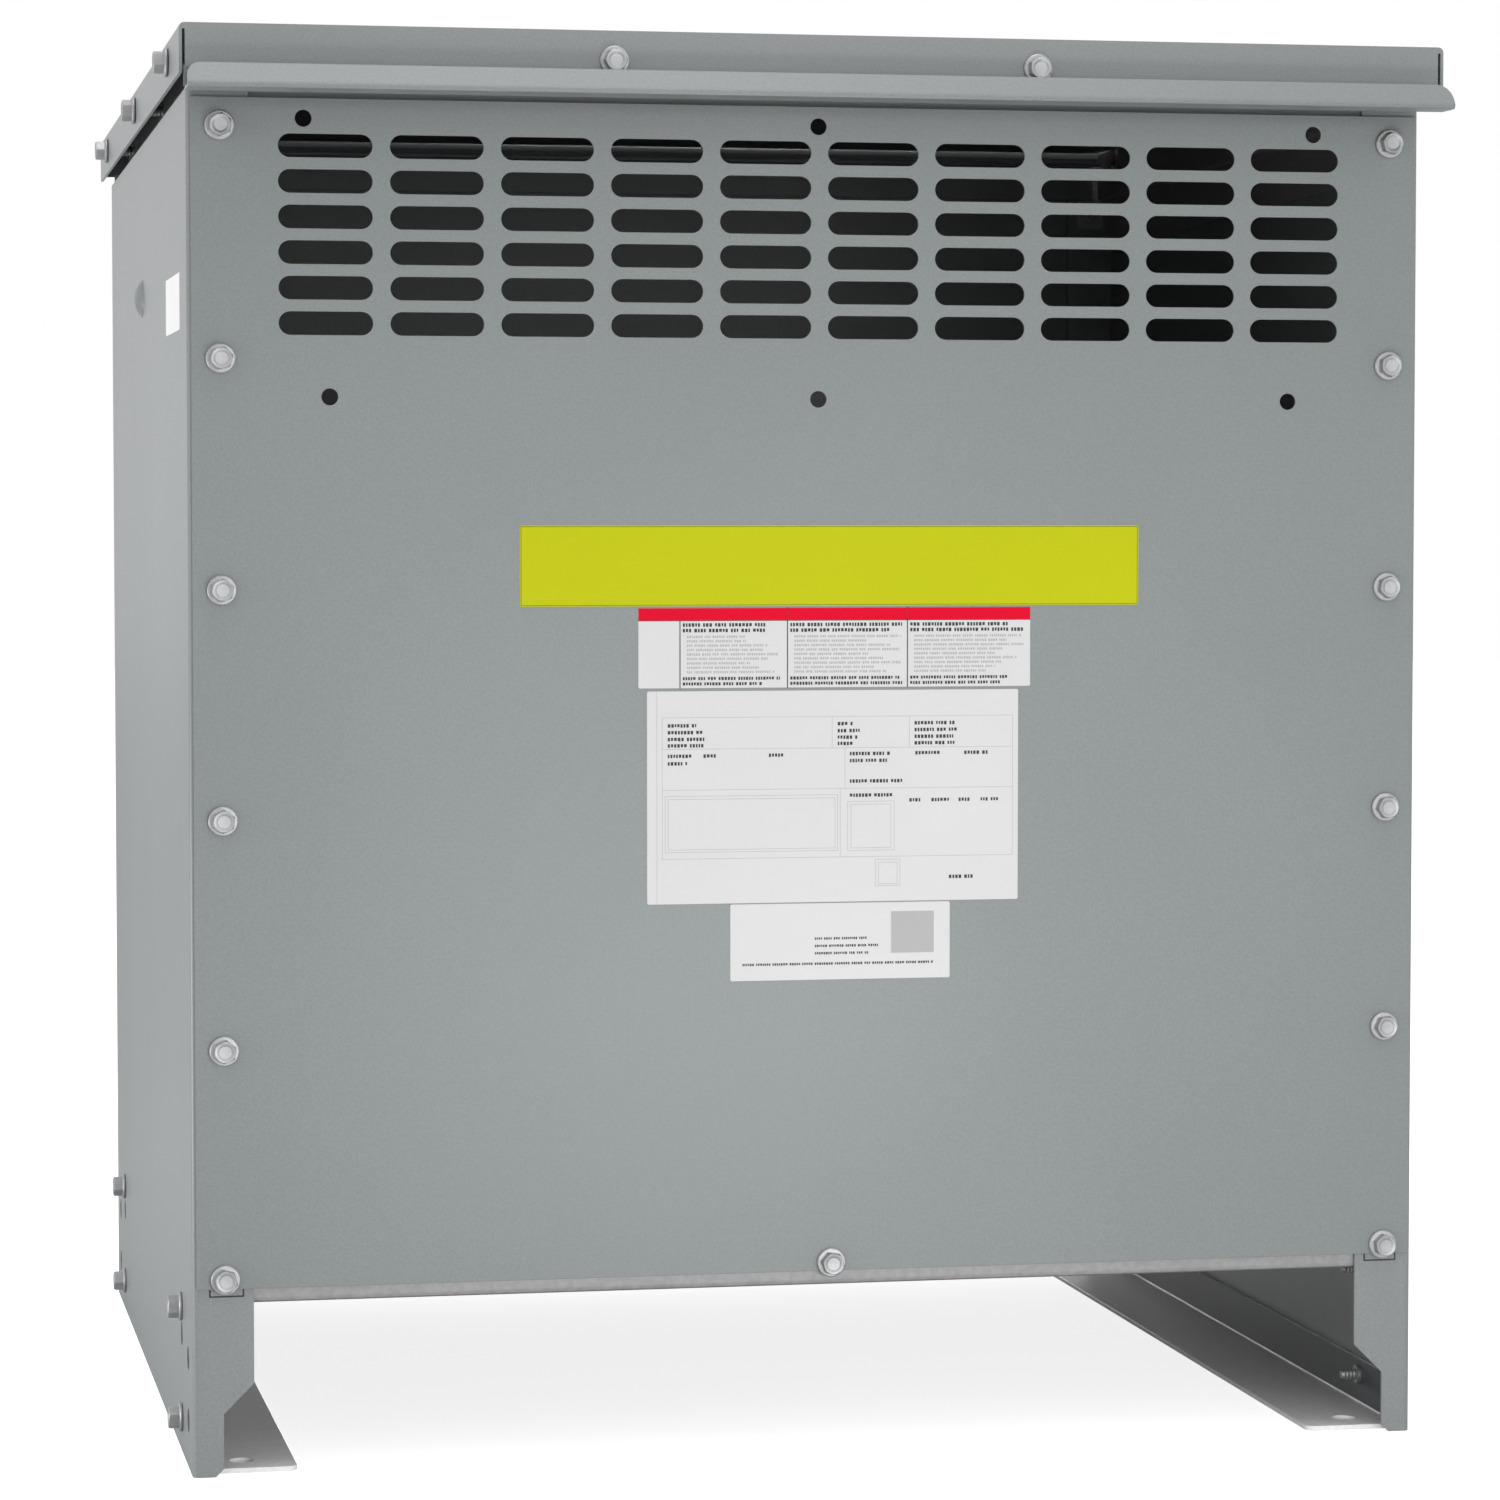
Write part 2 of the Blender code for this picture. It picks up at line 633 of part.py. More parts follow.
def core_stack(material):
    """Bottom yoke and three limbs, stacked as one E."""
    half = LIMB_PITCH + LIMB / 2
    outline = [(-half, CORE_BOTTOM), (half, CORE_BOTTOM), (half, WINDOW_TOP)]
    for x in (LIMB_PITCH, 0.0, -LIMB_PITCH):
        left, right = x - LIMB / 2, x + LIMB / 2
        if x < LIMB_PITCH:
            outline += [(right, WINDOW_BOTTOM), (right, WINDOW_TOP)]
        outline += [(left, WINDOW_TOP)]
        if x > -LIMB_PITCH:
            outline += [(left, WINDOW_BOTTOM)]
    return prism("core_limbs", outline, "Y", CORE_Y - STACK / 2, CORE_Y + STACK / 2, material)


def core_top_yoke(material):
    half = LIMB_PITCH + LIMB / 2
    return box("core_top_yoke", (-half, CORE_Y - STACK / 2, WINDOW_TOP + GAP),
               (half, CORE_Y + STACK / 2, CORE_TOP), material)


def core_clamp(name, side, low, material):
    """Angle against a yoke, its foot turned outwards at the height low."""
    face = CORE_Y + side * CLAMP_OFFSET
    path = [(face, low + CLAMP_LEG), (face, low), (face + side * CLAMP_FOOT, low)]
    if side < 0:
        path.reverse()
    return prism(name, fold(path, CLAMP_SHEET), "X", -CLAMP_LENGTH / 2, CLAMP_LENGTH / 2, material)


def winding(name, x, clearance, build, material):
    """Ring round a limb: a rounded rectangle with an open middle."""
    inner_size = (LIMB + 2 * clearance, STACK + 2 * clearance)
    outer_size = (inner_size[0] + 2 * build, inner_size[1] + 2 * build)
    inner_corner = max(COIL_CORNER - build, COIL_INNER_CORNER)
    loops = [rounded(*outer_size, COIL_CORNER, (x, CORE_Y)),
             rounded(*inner_size, inner_corner, (x, CORE_Y))]
    levels = (WINDING_BOTTOM, WINDING_BOTTOM + WINDING_HEIGHT)
    shape = bmesh.new()
    rows = [[[shape.verts.new((*point, z)) for point in loop] for z in levels] for loop in loops]
    count = len(loops[0])
    for i in range(count):
        j = (i + 1) % count
        (outer_low, outer_high), (inner_low, inner_high) = rows
        shape.faces.new((outer_low[i], outer_low[j], outer_high[j], outer_high[i]))
        shape.faces.new((inner_low[j], inner_low[i], inner_high[i], inner_high[j]))
        shape.faces.new((outer_high[i], outer_high[j], inner_high[j], inner_high[i]))
        shape.faces.new((outer_low[j], outer_low[i], inner_low[i], inner_low[j]))
    return add_object(name, mesh_from(name, shape), material)


def terminal_board(material):
    half = BOARD_LENGTH / 2
    return box("terminal_board", (-half, BOARD_REAR - BOARD_THICKNESS, BOARD_BOTTOM),
               (half, BOARD_REAR, BOARD_BOTTOM + BOARD_HEIGHT), material)


def bus_bar(name, x, material):
    """Flat bar up the front of the board, with one bolt hole at its top."""
    half = BUS_WIDTH / 2
    top = BUS_BOTTOM + BUS_LENGTH
    piece = box(name, (x - half, BUS_REAR - BUS_THICKNESS, BUS_BOTTOM), (x + half, BUS_REAR, top), material)
    shape = bmesh.new()
    add_prism(shape, circle((x, top - BUS_WIDTH / 2), BUS_HOLE), "Y",
              BUS_REAR - BUS_THICKNESS - SHORT_PAST, BUS_REAR + SHORT_PAST)
    combine(piece, shape, "DIFFERENCE")
    return piece


def line_terminal(name, x, material):
    """Stud standing out of the board between two bus bars."""
    z = BOARD_BOTTOM + BOARD_HEIGHT / 2
    face = BOARD_REAR - BOARD_THICKNESS - GAP
    return prism(name, circle((x, z), STUD), "Y", face - STUD_LENGTH, face, material)


def ground_bar(x, y, material):
    length, width, thickness = GROUND_BAR
    z = BASE_BOTTOM + BASE_HEIGHT + GAP
    low = (x - length / 2, y - width / 2, z)
    high = (x + length / 2, y + width / 2, z + thickness)
    return box("ground_bar", low, high, material)


def ground_strap(x, bar_y, material):
    """Bonding lead from the ground bar to the bottom clamp."""
    start = Vector((x, bar_y, BASE_BOTTOM + BASE_HEIGHT + GAP + GROUND_BAR[2] + GAP))
    clamp_edge = CORE_Y - CLAMP_OFFSET - CLAMP_FOOT
    end = Vector((x, clamp_edge - GAP, CLAMP_BOTTOM + CLAMP_SHEET / 2))
    lead_up, lead_in = Vector((0, 0, STRAP)), Vector((0, STRAP, 0))
    handles = (start + lead_up, start + 4 * lead_up, end - 6 * lead_in, end - lead_in)
    count = 14
    points = [start]
    for i in range(count + 1):
        t = i / count
        weights = ((1 - t) ** 3, 3 * t * (1 - t) ** 2, 3 * t * t * (1 - t), t ** 3)
        points.append(sum((weight * handle for weight, handle in zip(weights, handles)), Vector()))
    points.append(end)
    curve = bpy.data.curves.new("ground_strap", "CURVE")
    curve.dimensions = "3D"
    curve.bevel_depth = STRAP / 2
    curve.bevel_resolution = 2
    curve.use_fill_caps = True
    spline = curve.splines.new("POLY")
    spline.points.add(len(points) - 1)
    for knot, point in zip(spline.points, points):
        knot.co = (*point, 1.0)
    curve.materials.append(material)
    piece = bpy.data.objects.new("ground_strap", curve)
    bpy.context.scene.collection.objects.link(piece)
    return piece


# ---------------------------------------------------------------- the whole object
def build():
    clear_scene()
    enclosure = paint("enclosure_paint", (0.30, 0.33, 0.33), 0.45, 0.0)
    zinc = paint("zinc_plate", (0.62, 0.62, 0.62), 0.32, 1.0)
    frame_steel = paint("frame_steel", (0.23, 0.25, 0.26), 0.5, 0.0)
    core_steel = paint("core_steel", (0.10, 0.10, 0.11), 0.55, 0.6)
    varnish = paint("coil_varnish", (0.42, 0.22, 0.08), 0.4, 0.0)
    paper = paint("coil_paper", (0.55, 0.45, 0.28), 0.7, 0.0)
    board = paint("terminal_board_red", (0.36, 0.07, 0.04), 0.5, 0.0)
    aluminium = paint("bus_aluminium", (0.72, 0.72, 0.73), 0.35, 1.0)
    brass = paint("stud_brass", (0.62, 0.47, 0.20), 0.35, 1.0)
    rubber = paint("pad_rubber", (0.03, 0.03, 0.03), 0.8, 0.0)
    braid = paint("strap_copper", (0.65, 0.34, 0.20), 0.5, 1.0)

    for label, side in (("left", -1), ("right", 1)):
        side_panel(label + "_side_panel", side, enclosure)
        cover_rail(label + "_cover_rail", side, enclosure)
        foot_angle(label + "_foot_angle", side, enclosure)
        support_channel(label + "_support_channel", side * CHANNEL_SPACING / 2, frame_steel)

    inside = SIDE_SHEET + GAP
    for label, face, inward in (("front", FRONT_Y + inside, 1), ("rear", REAR_Y - inside, -1)):
        header(label + "_header", face, inward, enclosure)
        base_rail(label + "_base_rail", face, inward, enclosure)

    pad_reach = CLAMP_OFFSET + CLAMP_FOOT / 2
    for x_label, x_side in (("left", -1), ("right", 1)):
        for y_label, y_side in (("front", -1), ("rear", 1)):
            isolator_pad(y_label + "_" + x_label + "_isolator_pad", x_side * CHANNEL_SPACING / 2,
                         CORE_Y + y_side * pad_reach, rubber)

    core_stack(core_steel)
    core_top_yoke(core_steel)
    for label, side in (("front", -1), ("rear", 1)):
        core_clamp(label + "_bottom_clamp", side, CLAMP_BOTTOM, frame_steel)
        core_clamp(label + "_top_clamp", side, WINDOW_TOP + GAP, frame_steel)
    for number in (1, 2, 3):
        x = (number - 2) * LIMB_PITCH
        winding("low_voltage_winding_" + str(number), x, FORMER_GAP, LV_BUILD, paper)
        winding("high_voltage_winding_" + str(number), x, FORMER_GAP + LV_BUILD + COOLING_DUCT,
                HV_BUILD, varnish)

    terminal_board(board)
    for i, label in enumerate(("neutral_bus_bar", "bus_bar_1", "bus_bar_2", "bus_bar_3")):
        bus_bar(label, (i - 1.5) * BUS_PITCH, aluminium)
    for i in range(3):
        line_terminal("line_terminal_" + str(i + 1), (i - 1) * BUS_PITCH, brass)
    bar_y = FRONT_Y + inside + BASE_FLANGE / 2
    ground_bar(0.0, bar_y, aluminium)
    ground_strap(GROUND_BAR[0] / 4, bar_y, braid)

    panel_screw = screw_mesh("panel_screw", SHANK_LENGTH, zinc)
    front = [front_panel(enclosure)]
    seat = FRONT_Y - PANEL_FACE - GAP
    for i, (x, z) in enumerate(front_screw_places()):
        front.append(screw("front_panel_screw_" + str(i + 1), panel_screw, (x, seat, z), (0, -1, 0)))
    carry("front_panel_slide", (0.0, FRONT_Y, (PANEL_BOTTOM + PANEL_TOP) / 2), front)

    carry("rear_panel_slide", (0.0, REAR_Y, (PANEL_BOTTOM + PANEL_TOP) / 2), [rear_panel(enclosure)])

    cover_screw = screw_mesh("cover_screw", COVER_SHANK_LENGTH, zinc)
    cover = [top_cover(enclosure)]
    for label, side in (("left", -1), ("right", 1)):
        for i, inset in enumerate(COVER_SCREWS):
            y = FRONT_Y + inset
            place_at = (side * (COVER_X + GAP), y, roof_z(y) - COVER_SCREW_DROP)
            cover.append(screw(label + "_cover_screw_" + str(i + 1), cover_screw, place_at, (side, 0, 0)))
    hole = bmesh.new()
    for side in (-1, 1):
        for inset in COVER_SCREWS:
            y = FRONT_Y + inset
            ends = sorted((side * (COVER_X + SHORT_PAST), side * (COVER_X - COVER_SHEET - SHORT_PAST)))
            add_prism(hole, circle((y, roof_z(y) - COVER_SCREW_DROP), SHANK_HOLE, 8), "X", *ends)
    combine(cover[0], hole, "DIFFERENCE")
    carry("top_cover_lift", (0.0, MIDDLE_Y, HEIGHT), cover)


build()
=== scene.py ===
"""Looks of a floor-standing ventilated dry-type transformer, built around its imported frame.

Metres, +Z up. The floor is z = 0 and the front of the enclosure faces -Y. The sheet metal keeps
the shapes of the frame and gets eased edges; the slotted panel, the screws, the windings and
their spacers are grown with Geometry Nodes; labels stay free of words.
"""
import json
import math
import random

import bmesh
import bpy
from mathutils import Matrix, Vector


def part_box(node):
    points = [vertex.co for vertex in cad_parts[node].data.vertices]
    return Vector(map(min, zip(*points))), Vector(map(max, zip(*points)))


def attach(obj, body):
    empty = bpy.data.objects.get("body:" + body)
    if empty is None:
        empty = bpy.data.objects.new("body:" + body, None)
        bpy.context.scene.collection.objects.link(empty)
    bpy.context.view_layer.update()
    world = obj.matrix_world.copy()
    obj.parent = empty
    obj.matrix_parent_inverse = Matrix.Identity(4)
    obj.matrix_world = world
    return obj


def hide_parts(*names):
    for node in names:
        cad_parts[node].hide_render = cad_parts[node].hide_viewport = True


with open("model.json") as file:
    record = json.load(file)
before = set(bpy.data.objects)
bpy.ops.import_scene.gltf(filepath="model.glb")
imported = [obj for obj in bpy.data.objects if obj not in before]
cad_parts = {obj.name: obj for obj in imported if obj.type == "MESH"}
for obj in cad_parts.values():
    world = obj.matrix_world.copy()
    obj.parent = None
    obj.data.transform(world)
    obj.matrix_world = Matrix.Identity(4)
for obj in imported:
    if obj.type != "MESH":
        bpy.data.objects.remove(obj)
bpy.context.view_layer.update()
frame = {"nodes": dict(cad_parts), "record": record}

# ---------------------------------------------------------------- places read from the frame
BODY_OF = {node: body for body, nodes in frame["record"]["behaviour"]["bodies"].items() for node in nodes}
PANEL_LOW, PANEL_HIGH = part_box("front_panel")
REAR_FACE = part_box("rear_panel")[1].y
LEFT_LOW, LEFT_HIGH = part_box("left_side_panel")
RIGHT_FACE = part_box("right_side_panel")[1].x
BOARD_LOW, BOARD_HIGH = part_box("terminal_board")
BAR_LOW, BAR_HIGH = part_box("ground_bar")

# ---------------------------------------------------------------- sizes
MERGE = 0.00001                # joins the corners of the frame's loose triangles
FLAT_ANGLE = math.radians(0.5)           # faces that meet at less than this are one face
EASED_ANGLE = math.radians(35)           # edges sharper than this are eased
EDGE = 0.00035                 # eased edge of sheared sheet metal
THICK_EDGE = 0.0006            # the same on clamps, studs, stacks and laminate
BAR_EDGE = 0.0005
RUBBER_EDGE = 0.0022
ROOF_AREA = 0.1                # square metres; only the roof's own face is larger
SIDE_SHEET = 0.002
FOOT_SHEET = 0.004             # faces of a foot angle below this belong to its flat flange, which takes the painted highlight

SLOT_COLUMNS, SLOT_ROWS = 10, 6
SLOT_PITCH_X, SLOT_PITCH_Z = 0.05328, 0.01679
SLOT_LENGTH, SLOT_HEIGHT = 0.0449, 0.0111
SLOT_END = SLOT_HEIGHT * 0.499           # end radius, just short of a half circle
SLOT_TOP_ROW = 0.6352
SLOT_SHIFT = 0.0006
PILOT_HOLE = 0.008
PILOT_HOLES = ((-0.2496, 0.648), (0.0, 0.648), (0.250, 0.648),
               (-0.2375, 0.5164), (0.0, 0.5164), (0.2375, 0.5164))

SHANK = 0.006
WASHER, WASHER_HEIGHT = 0.0143, 0.0017
HEX, HEX_HEIGHT = 0.0098, 0.0052
HEAD_HEIGHT = WASHER_HEIGHT + HEX_HEIGHT
PANEL_SHANK, COVER_SHANK = 0.014, 0.020
THREAD_PITCH = 0.0018
THREAD_ROOT = 0.82             # root and blunt tip, as shares of the shank
BLUNT_TIP = 0.66
NECK = 0.0010                  # length of the shank that carries no thread
RELIEF = 0.0006                # plain part at each end of the thread
TIP_TAPER = (0.15, 0.8)        # length of the tapered tip and its end, as shares of the shank
CREST = 0.45                   # share of the pitch from root to crest
WASHER_EASE = 0.3              # share of the washer's height
HEAD_CHAMFER = 0.0009
HEAD_CROWN = ((0.0003, 0.93), (0.0, 0.84))    # depth, share of the corners' reach
HEAD_DISH = ((0.0001, 0.78), (0.0006, 0.62), (0.0007, 0.1))    # depth, share of the flats

# shank, length, washer, washer height, across flats, head height, thread pitch
BAR_BOLT = (0.008, 0.012, 0.016, 0.0016, 0.013, 0.0055, 0.00125)
TERMINAL_NUT = (0.0101, 0.0004, 0.020, 0.0018, 0.016, 0.006, 0.001)
TIE_BOLT = (0.010, 0.014, 0.020, 0.002, 0.016, 0.0065, 0.0015)
GROUND_SCREW = (0.005, 0.008, 0.011, 0.0014, 0.008, 0.004, 0.001)

PANEL_SCREWS = 13
CLIP_COLUMN = 0.1              # panel screws further out than this go into clip nuts
COVER_FRONT = -0.291           # face of the cover's front flange
COVER_FACE_SCREWS = (-0.1036, 0.1039)
COVER_FACE_SCREW_Z = 0.6757
LOW_SIDE_SCREWS = (0.072, 0.017)         # heights
LOW_SIDE_INSET = 0.067                   # from the front and rear edges

CLIP_WIDE, CLIP_TALL = 0.0162, 0.0170
CLIP_CORNER, CLIP_SHEET = 0.0016, 0.0011
COLLAR, COLLAR_DEPTH = 0.0096, 0.0042
CLIP_WINDOW = (0.2805, 0.2967)           # ends, out from the middle of the enclosure
CLIP_WINDOW_LOW, CLIP_WINDOW_HIGH = 0.0869, 0.100
# thickness of the dark plate of painted shade in each clip window, and of the clip's leaf
WINDOW_SHADE_COAT, LEAF_COAT = 0.00008, 0.00012

FILM, FILM_CORNER = 0.00018, 0.0008      # thickness and corners of a label
INK, THICK_INK = 0.00003, 0.00005

EMBOSS_Y, EMBOSS_Z = 0.032, 0.576
EMBOSS_RADIUS, EMBOSS_RISE = 0.0102, 0.0046
EMBOSS_STEPS = 10

LV_WALL, HV_WALL = 0.014, 0.016          # thickness of each winding
LV_LAYER, HV_LAYER = 0.0042, 0.0049      # from one layer to the next
LV_PAPER, HV_PAPER = 0.0011, 0.0010
LV_FOIL = (0.0012, 0.0044)               # inner and outer face of the first foil
HV_TURNS = (0.0011, 0.0049)              # and of the first layer of turns
HV_LAST_TURNS = 0.0109                   # inner face of the layer whose turns show
LV_MARGIN, HV_MARGIN = 0.007, 0.008      # paper past the conductor at each end
LV_CORNER, HV_CORNER = 0.004, 0.005
LAYER_EASE = 0.0002
WIRE_PITCH = 0.0033
DUCT = 0.008
DUCT_CORNER = 0.006
STICKS_PER_DUCT = 22
STICK_SIZE = (0.0055, DUCT - 0.0008, 0.206)
STICK_EASE = 0.0006
BLOCK_WIDE, BLOCK_DEEP = 0.024, 0.018
BLOCK_REACH, BLOCK_INSET = 0.045, 0.010  # from the coil's middle and from its face

LEAD_RADIUS, LEAD_STEPS = 0.0042, 22
LEAD_START, LEAD_BULGE = 0.405, 0.050    # height, and how far it swings to the front
LEAD_MARGIN, LUG_INSET = 0.02, 0.009
LEAD_ROOT, LEAD_SINK, LEAD_RISE, LUG_DROP = 0.004, 0.007, 0.010, 0.012
BRAID_RISE, BRAID_RUN = 0.034, 0.050     # how far it keeps its way at each end
BRAID_STEPS, STRANDS, TWISTS = 60, 7, 7
STRAND_REACH, STRAND_SIZE = 0.62, 0.36   # shares of the strap's radius
BAR_BOLT_INSET, BOARD_BOLT_INSET = 0.018, 0.014
LUG_SPACE = 0.0105                       # between the two nuts of a terminal
TIE_BOLTS = (-0.178, -0.075, 0.075, 0.178)
TIE_DROP = 0.018
CLAMP_WEB = 0.005
GROUND_SCREWS, GROUND_PITCH, GROUND_INSET = 5, 0.0215, 0.012
STRAP_X, STRAP_ROOM = 0.0275, 0.010      # no screw stands where the strap lands


# ---------------------------------------------------------------- node and mesh helpers
def node(tree, kind, inputs=None, **settings):
    """Add a node, set its settings, and link or set its inputs."""
    made = tree.nodes.new(kind)
    for key, value in settings.items():
        setattr(made, key, value)
    for key, value in (inputs or {}).items():
        socket = made.inputs[key]
        if isinstance(value, bpy.types.NodeSocket):
            tree.links.new(value, socket)
        else:
            socket.default_value = value
    return made


def new_piece(name, mesh, material=None):
    piece = bpy.data.objects.new(name, mesh)
    bpy.context.scene.collection.objects.link(piece)
    if material is not None:
        mesh.materials.clear()
        mesh.materials.append(material)
    return piece


def mesh_from(name, shape):
    """Turn a bmesh into a mesh whose faces point outwards."""
    bmesh.ops.recalc_face_normals(shape, faces=shape.faces)
    mesh = bpy.data.meshes.new(name)
    shape.to_mesh(mesh)
    shape.free()
    return mesh


def finished_mesh(piece):
    """A plain mesh of a piece as its modifiers or its curve settings make it."""
    bpy.context.view_layer.update()
    graph = bpy.context.evaluated_depsgraph_get()
    return bpy.data.meshes.new_from_object(piece.evaluated_get(graph))


def walls(shape, lower, upper):
    """Faces all round between two rings of the same count."""
    for i in range(len(lower)):
        j = (i + 1) % len(lower)
        shape.faces.new((lower[i], lower[j], upper[j], upper[i]))


def prism(shape, lower, upper):
    """A closed body between two outlines of the same count."""
    shape.faces.new(lower[::-1])
    shape.faces.new(upper)
    walls(shape, lower, upper)


def rounded_outline(low, high, corner):
    """A rectangle with rounded corners, from its upper right corner round to the left."""
    outline = []
    for quarter, (right, top) in enumerate(((1, 1), (0, 1), (0, 0), (1, 0))):
        cx = high[0] - corner if right else low[0] + corner
        cy = high[1] - corner if top else low[1] + corner
        for i in range(4):
            angle = math.pi / 2 * (quarter + i / 3)
            outline.append((cx + corner * math.cos(angle), cy + corner * math.sin(angle)))
    return outline


def middle_of(node_name):
    low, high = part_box(node_name)
    return (low + high) / 2


def fit(piece, body, slot, *nodes):
    """Let a finished piece ride on its body and stand for the frame's nodes."""
    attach(piece, body)
    if nodes:
        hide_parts(*nodes)
    return piece


def smooth(mesh, angle=35):
    mesh.shade_smooth()
    mesh.set_sharp_from_angle(angle=math.radians(angle))


def ease_edges(piece, width):
    """Round the sharp edges a little, so that they catch the light."""
    piece.data.shade_smooth()
    bevel = piece.modifiers.new("eased_edges", "BEVEL")
    bevel.width = width
    bevel.segments = 2
    bevel.limit_method = "ANGLE"
    bevel.angle_limit = EASED_ANGLE
    flat = piece.modifiers.new("flat_faces", "WEIGHTED_NORMAL")
    flat.weight = 80
    flat.keep_sharp = True


# ---------------------------------------------------------------- finishes
def new_finish(name, roughness, metallic=0.0, specular=0.5):
    material = bpy.data.materials.new(name)
    material.use_nodes = True
    shader = material.node_tree.nodes["Principled BSDF"]
    shader.inputs["Roughness"].default_value = roughness
    shader.inputs["Metallic"].default_value = metallic
    shader.inputs["Specular IOR Level"].default_value = specular
    return material, material.node_tree, shader


def tones(tree, factor, low_colour, high_colour, low=0.35, high=0.65):
    """A colour that runs from one tone to another as the factor rises."""
    ramp = node(tree, "ShaderNodeValToRGB", {"Fac": factor})
    ramp.color_ramp.elements[0].position = low
    ramp.color_ramp.elements[0].color = (*low_colour, 1.0)
    ramp.color_ramp.elements[1].position = high
    ramp.color_ramp.elements[1].color = (*high_colour, 1.0)
    return ramp.outputs["Color"]


def scaled(colour, share):
    return tuple(min(1.0, part * share) for part in colour)


def noise(tree, scale, detail=2.0, stretch=None):
    """Noise on the object's own coordinates, stretched if asked."""
    place = node(tree, "ShaderNodeTexCoord").outputs["Object"]
    if stretch:
        place = node(tree, "ShaderNodeMapping", {"Vector": place, "Scale": stretch}).outputs["Vector"]
    texture = node(tree, "ShaderNodeTexNoise", {"Vector": place, "Scale": scale, "Detail": detail})
    return texture.outputs["Fac"]


def span(tree, factor, low, high):
    """Spread a 0 to 1 factor between two values."""
    spread = node(tree, "ShaderNodeMapRange", {"Value": factor, "To Min": low, "To Max": high})
    return spread.outputs["Result"]


def relief(tree, shader, height, strength, distance):
    bump = node(tree, "ShaderNodeBump", {"Height": height, "Strength": strength, "Distance": distance})
    tree.links.new(bump.outputs["Normal"], shader.inputs["Normal"])


def dress(tree, shader, factor, colour, gloss, bump):
    """Put a colour on, and let a factor drive the gloss and the relief."""
    tree.links.new(colour, shader.inputs["Base Color"])
    tree.links.new(span(tree, factor, *gloss), shader.inputs["Roughness"])
    relief(tree, shader, factor, *bump)


def speckled(name, colour, roughness, grain=900.0, depth=0.00012, spread=0.06, metallic=0.0,
             specular=0.5):
    """A plain finish with a fine grain, a cloudy change of tone and an uneven gloss."""
    material, tree, shader = new_finish(name, roughness, metallic, specular)
    fine = noise(tree, grain)
    cloud = noise(tree, 7.0, 3.0)
    fine_tone = tones(tree, fine, scaled(colour, 1 - spread), scaled(colour, 1 + spread))
    cloud_tone = tones(tree, cloud, (0.965, 0.965, 0.965), (1.0, 1.0, 1.0))
    mix = node(tree, "ShaderNodeMix", data_type="RGBA", blend_type="MULTIPLY")
    mix.inputs["Factor"].default_value = 1.0
    tree.links.new(fine_tone, mix.inputs[6])
    tree.links.new(cloud_tone, mix.inputs[7])
    dress(tree, shader, fine, mix.outputs[2], (roughness - 0.05, roughness + 0.05), (0.25, depth))
    return material


def laminated_steel():
    """Edges of thin core sheets stacked front to back, under varnish."""
    material, tree, shader = new_finish("core_lamination_steel", 0.45, 0.5)
    place = node(tree, "ShaderNodeTexCoord").outputs["Object"]
    wave = node(tree, "ShaderNodeTexWave",
                {"Vector": place, "Scale": 320.0, "Distortion": 0.6, "Detail": 1.0},
                wave_type="BANDS", bands_direction="Y").outputs["Fac"]
    colour = tones(tree, wave, (0.055, 0.055, 0.06), (0.16, 0.16, 0.17), 0.2, 0.8)
    tree.links.new(colour, shader.inputs["Base Color"])
    tree.links.new(span(tree, noise(tree, 60.0), 0.38, 0.55), shader.inputs["Roughness"])
    relief(tree, shader, wave, 0.35, 0.0002)
    return material


def drawn_metal(name, colour, roughness, stretch):
    """Bare metal with the fine lines of rolling or drawing."""
    material, tree, shader = new_finish(name, roughness, 1.0)
    lines = noise(tree, 90.0, 4.0, stretch)
    shade = tones(tree, lines, scaled(colour, 0.88), scaled(colour, 1.08))
    dress(tree, shader, lines, shade, (roughness - 0.08, roughness + 0.08), (0.12, 0.0001))
    return material


def varnished_wire():
    """Enamelled wire under a coat of amber dipping varnish, thicker in places."""
    material, tree, shader = new_finish("varnished_wire", 0.3)
    pool = noise(tree, 28.0, 4.0, (1.0, 1.0, 0.35))
    colour = tones(tree, pool, (0.20, 0.075, 0.02), (0.46, 0.21, 0.06), 0.3, 0.7)
    dress(tree, shader, pool, colour, (0.18, 0.42), (0.3, 0.0008))
    return material


def barrier_paper():
    """Insulation paper, fibrous and stained by varnish."""
    material, tree, shader = new_finish("barrier_paper", 0.7)
    fibre = noise(tree, 260.0, 3.0, (1.0, 1.0, 0.2))
    stain = noise(tree, 22.0, 3.0)
    blend = node(tree, "ShaderNodeMath", {0: fibre, 1: stain}, operation="MULTIPLY_ADD")
    blend.inputs[2].default_value = 0.15
    colour = tones(tree, blend.outputs[0], (0.36, 0.25, 0.12), (0.66, 0.55, 0.36), 0.25, 0.6)
    tree.links.new(colour, shader.inputs["Base Color"])
    relief(tree, shader, fibre, 0.3, 0.0002)
    return material


def glass_laminate():
    """Red-brown polyester laminate with chopped glass showing through."""
    material, tree, shader = new_finish("glass_polyester_red", 0.4)
    place = node(tree, "ShaderNodeTexCoord").outputs["Object"]
    cells = node(tree, "ShaderNodeTexVoronoi", {"Vector": place, "Scale": 240.0}, feature="F1")
    strands = cells.outputs["Distance"]
    colour = tones(tree, strands, (0.30, 0.045, 0.025), (0.42, 0.10, 0.06), 0.1, 0.7)
    dress(tree, shader, strands, colour, (0.32, 0.5), (0.1, 0.0001))
    return material


def matt_print(name, colour, spread=0.02, roughness=0.5, specular=0.2):
    """Label film or ink: an even, matt colour with the faintest grain."""
    return speckled(name, colour, roughness, 1500.0, 0.00002, spread, specular=specular)


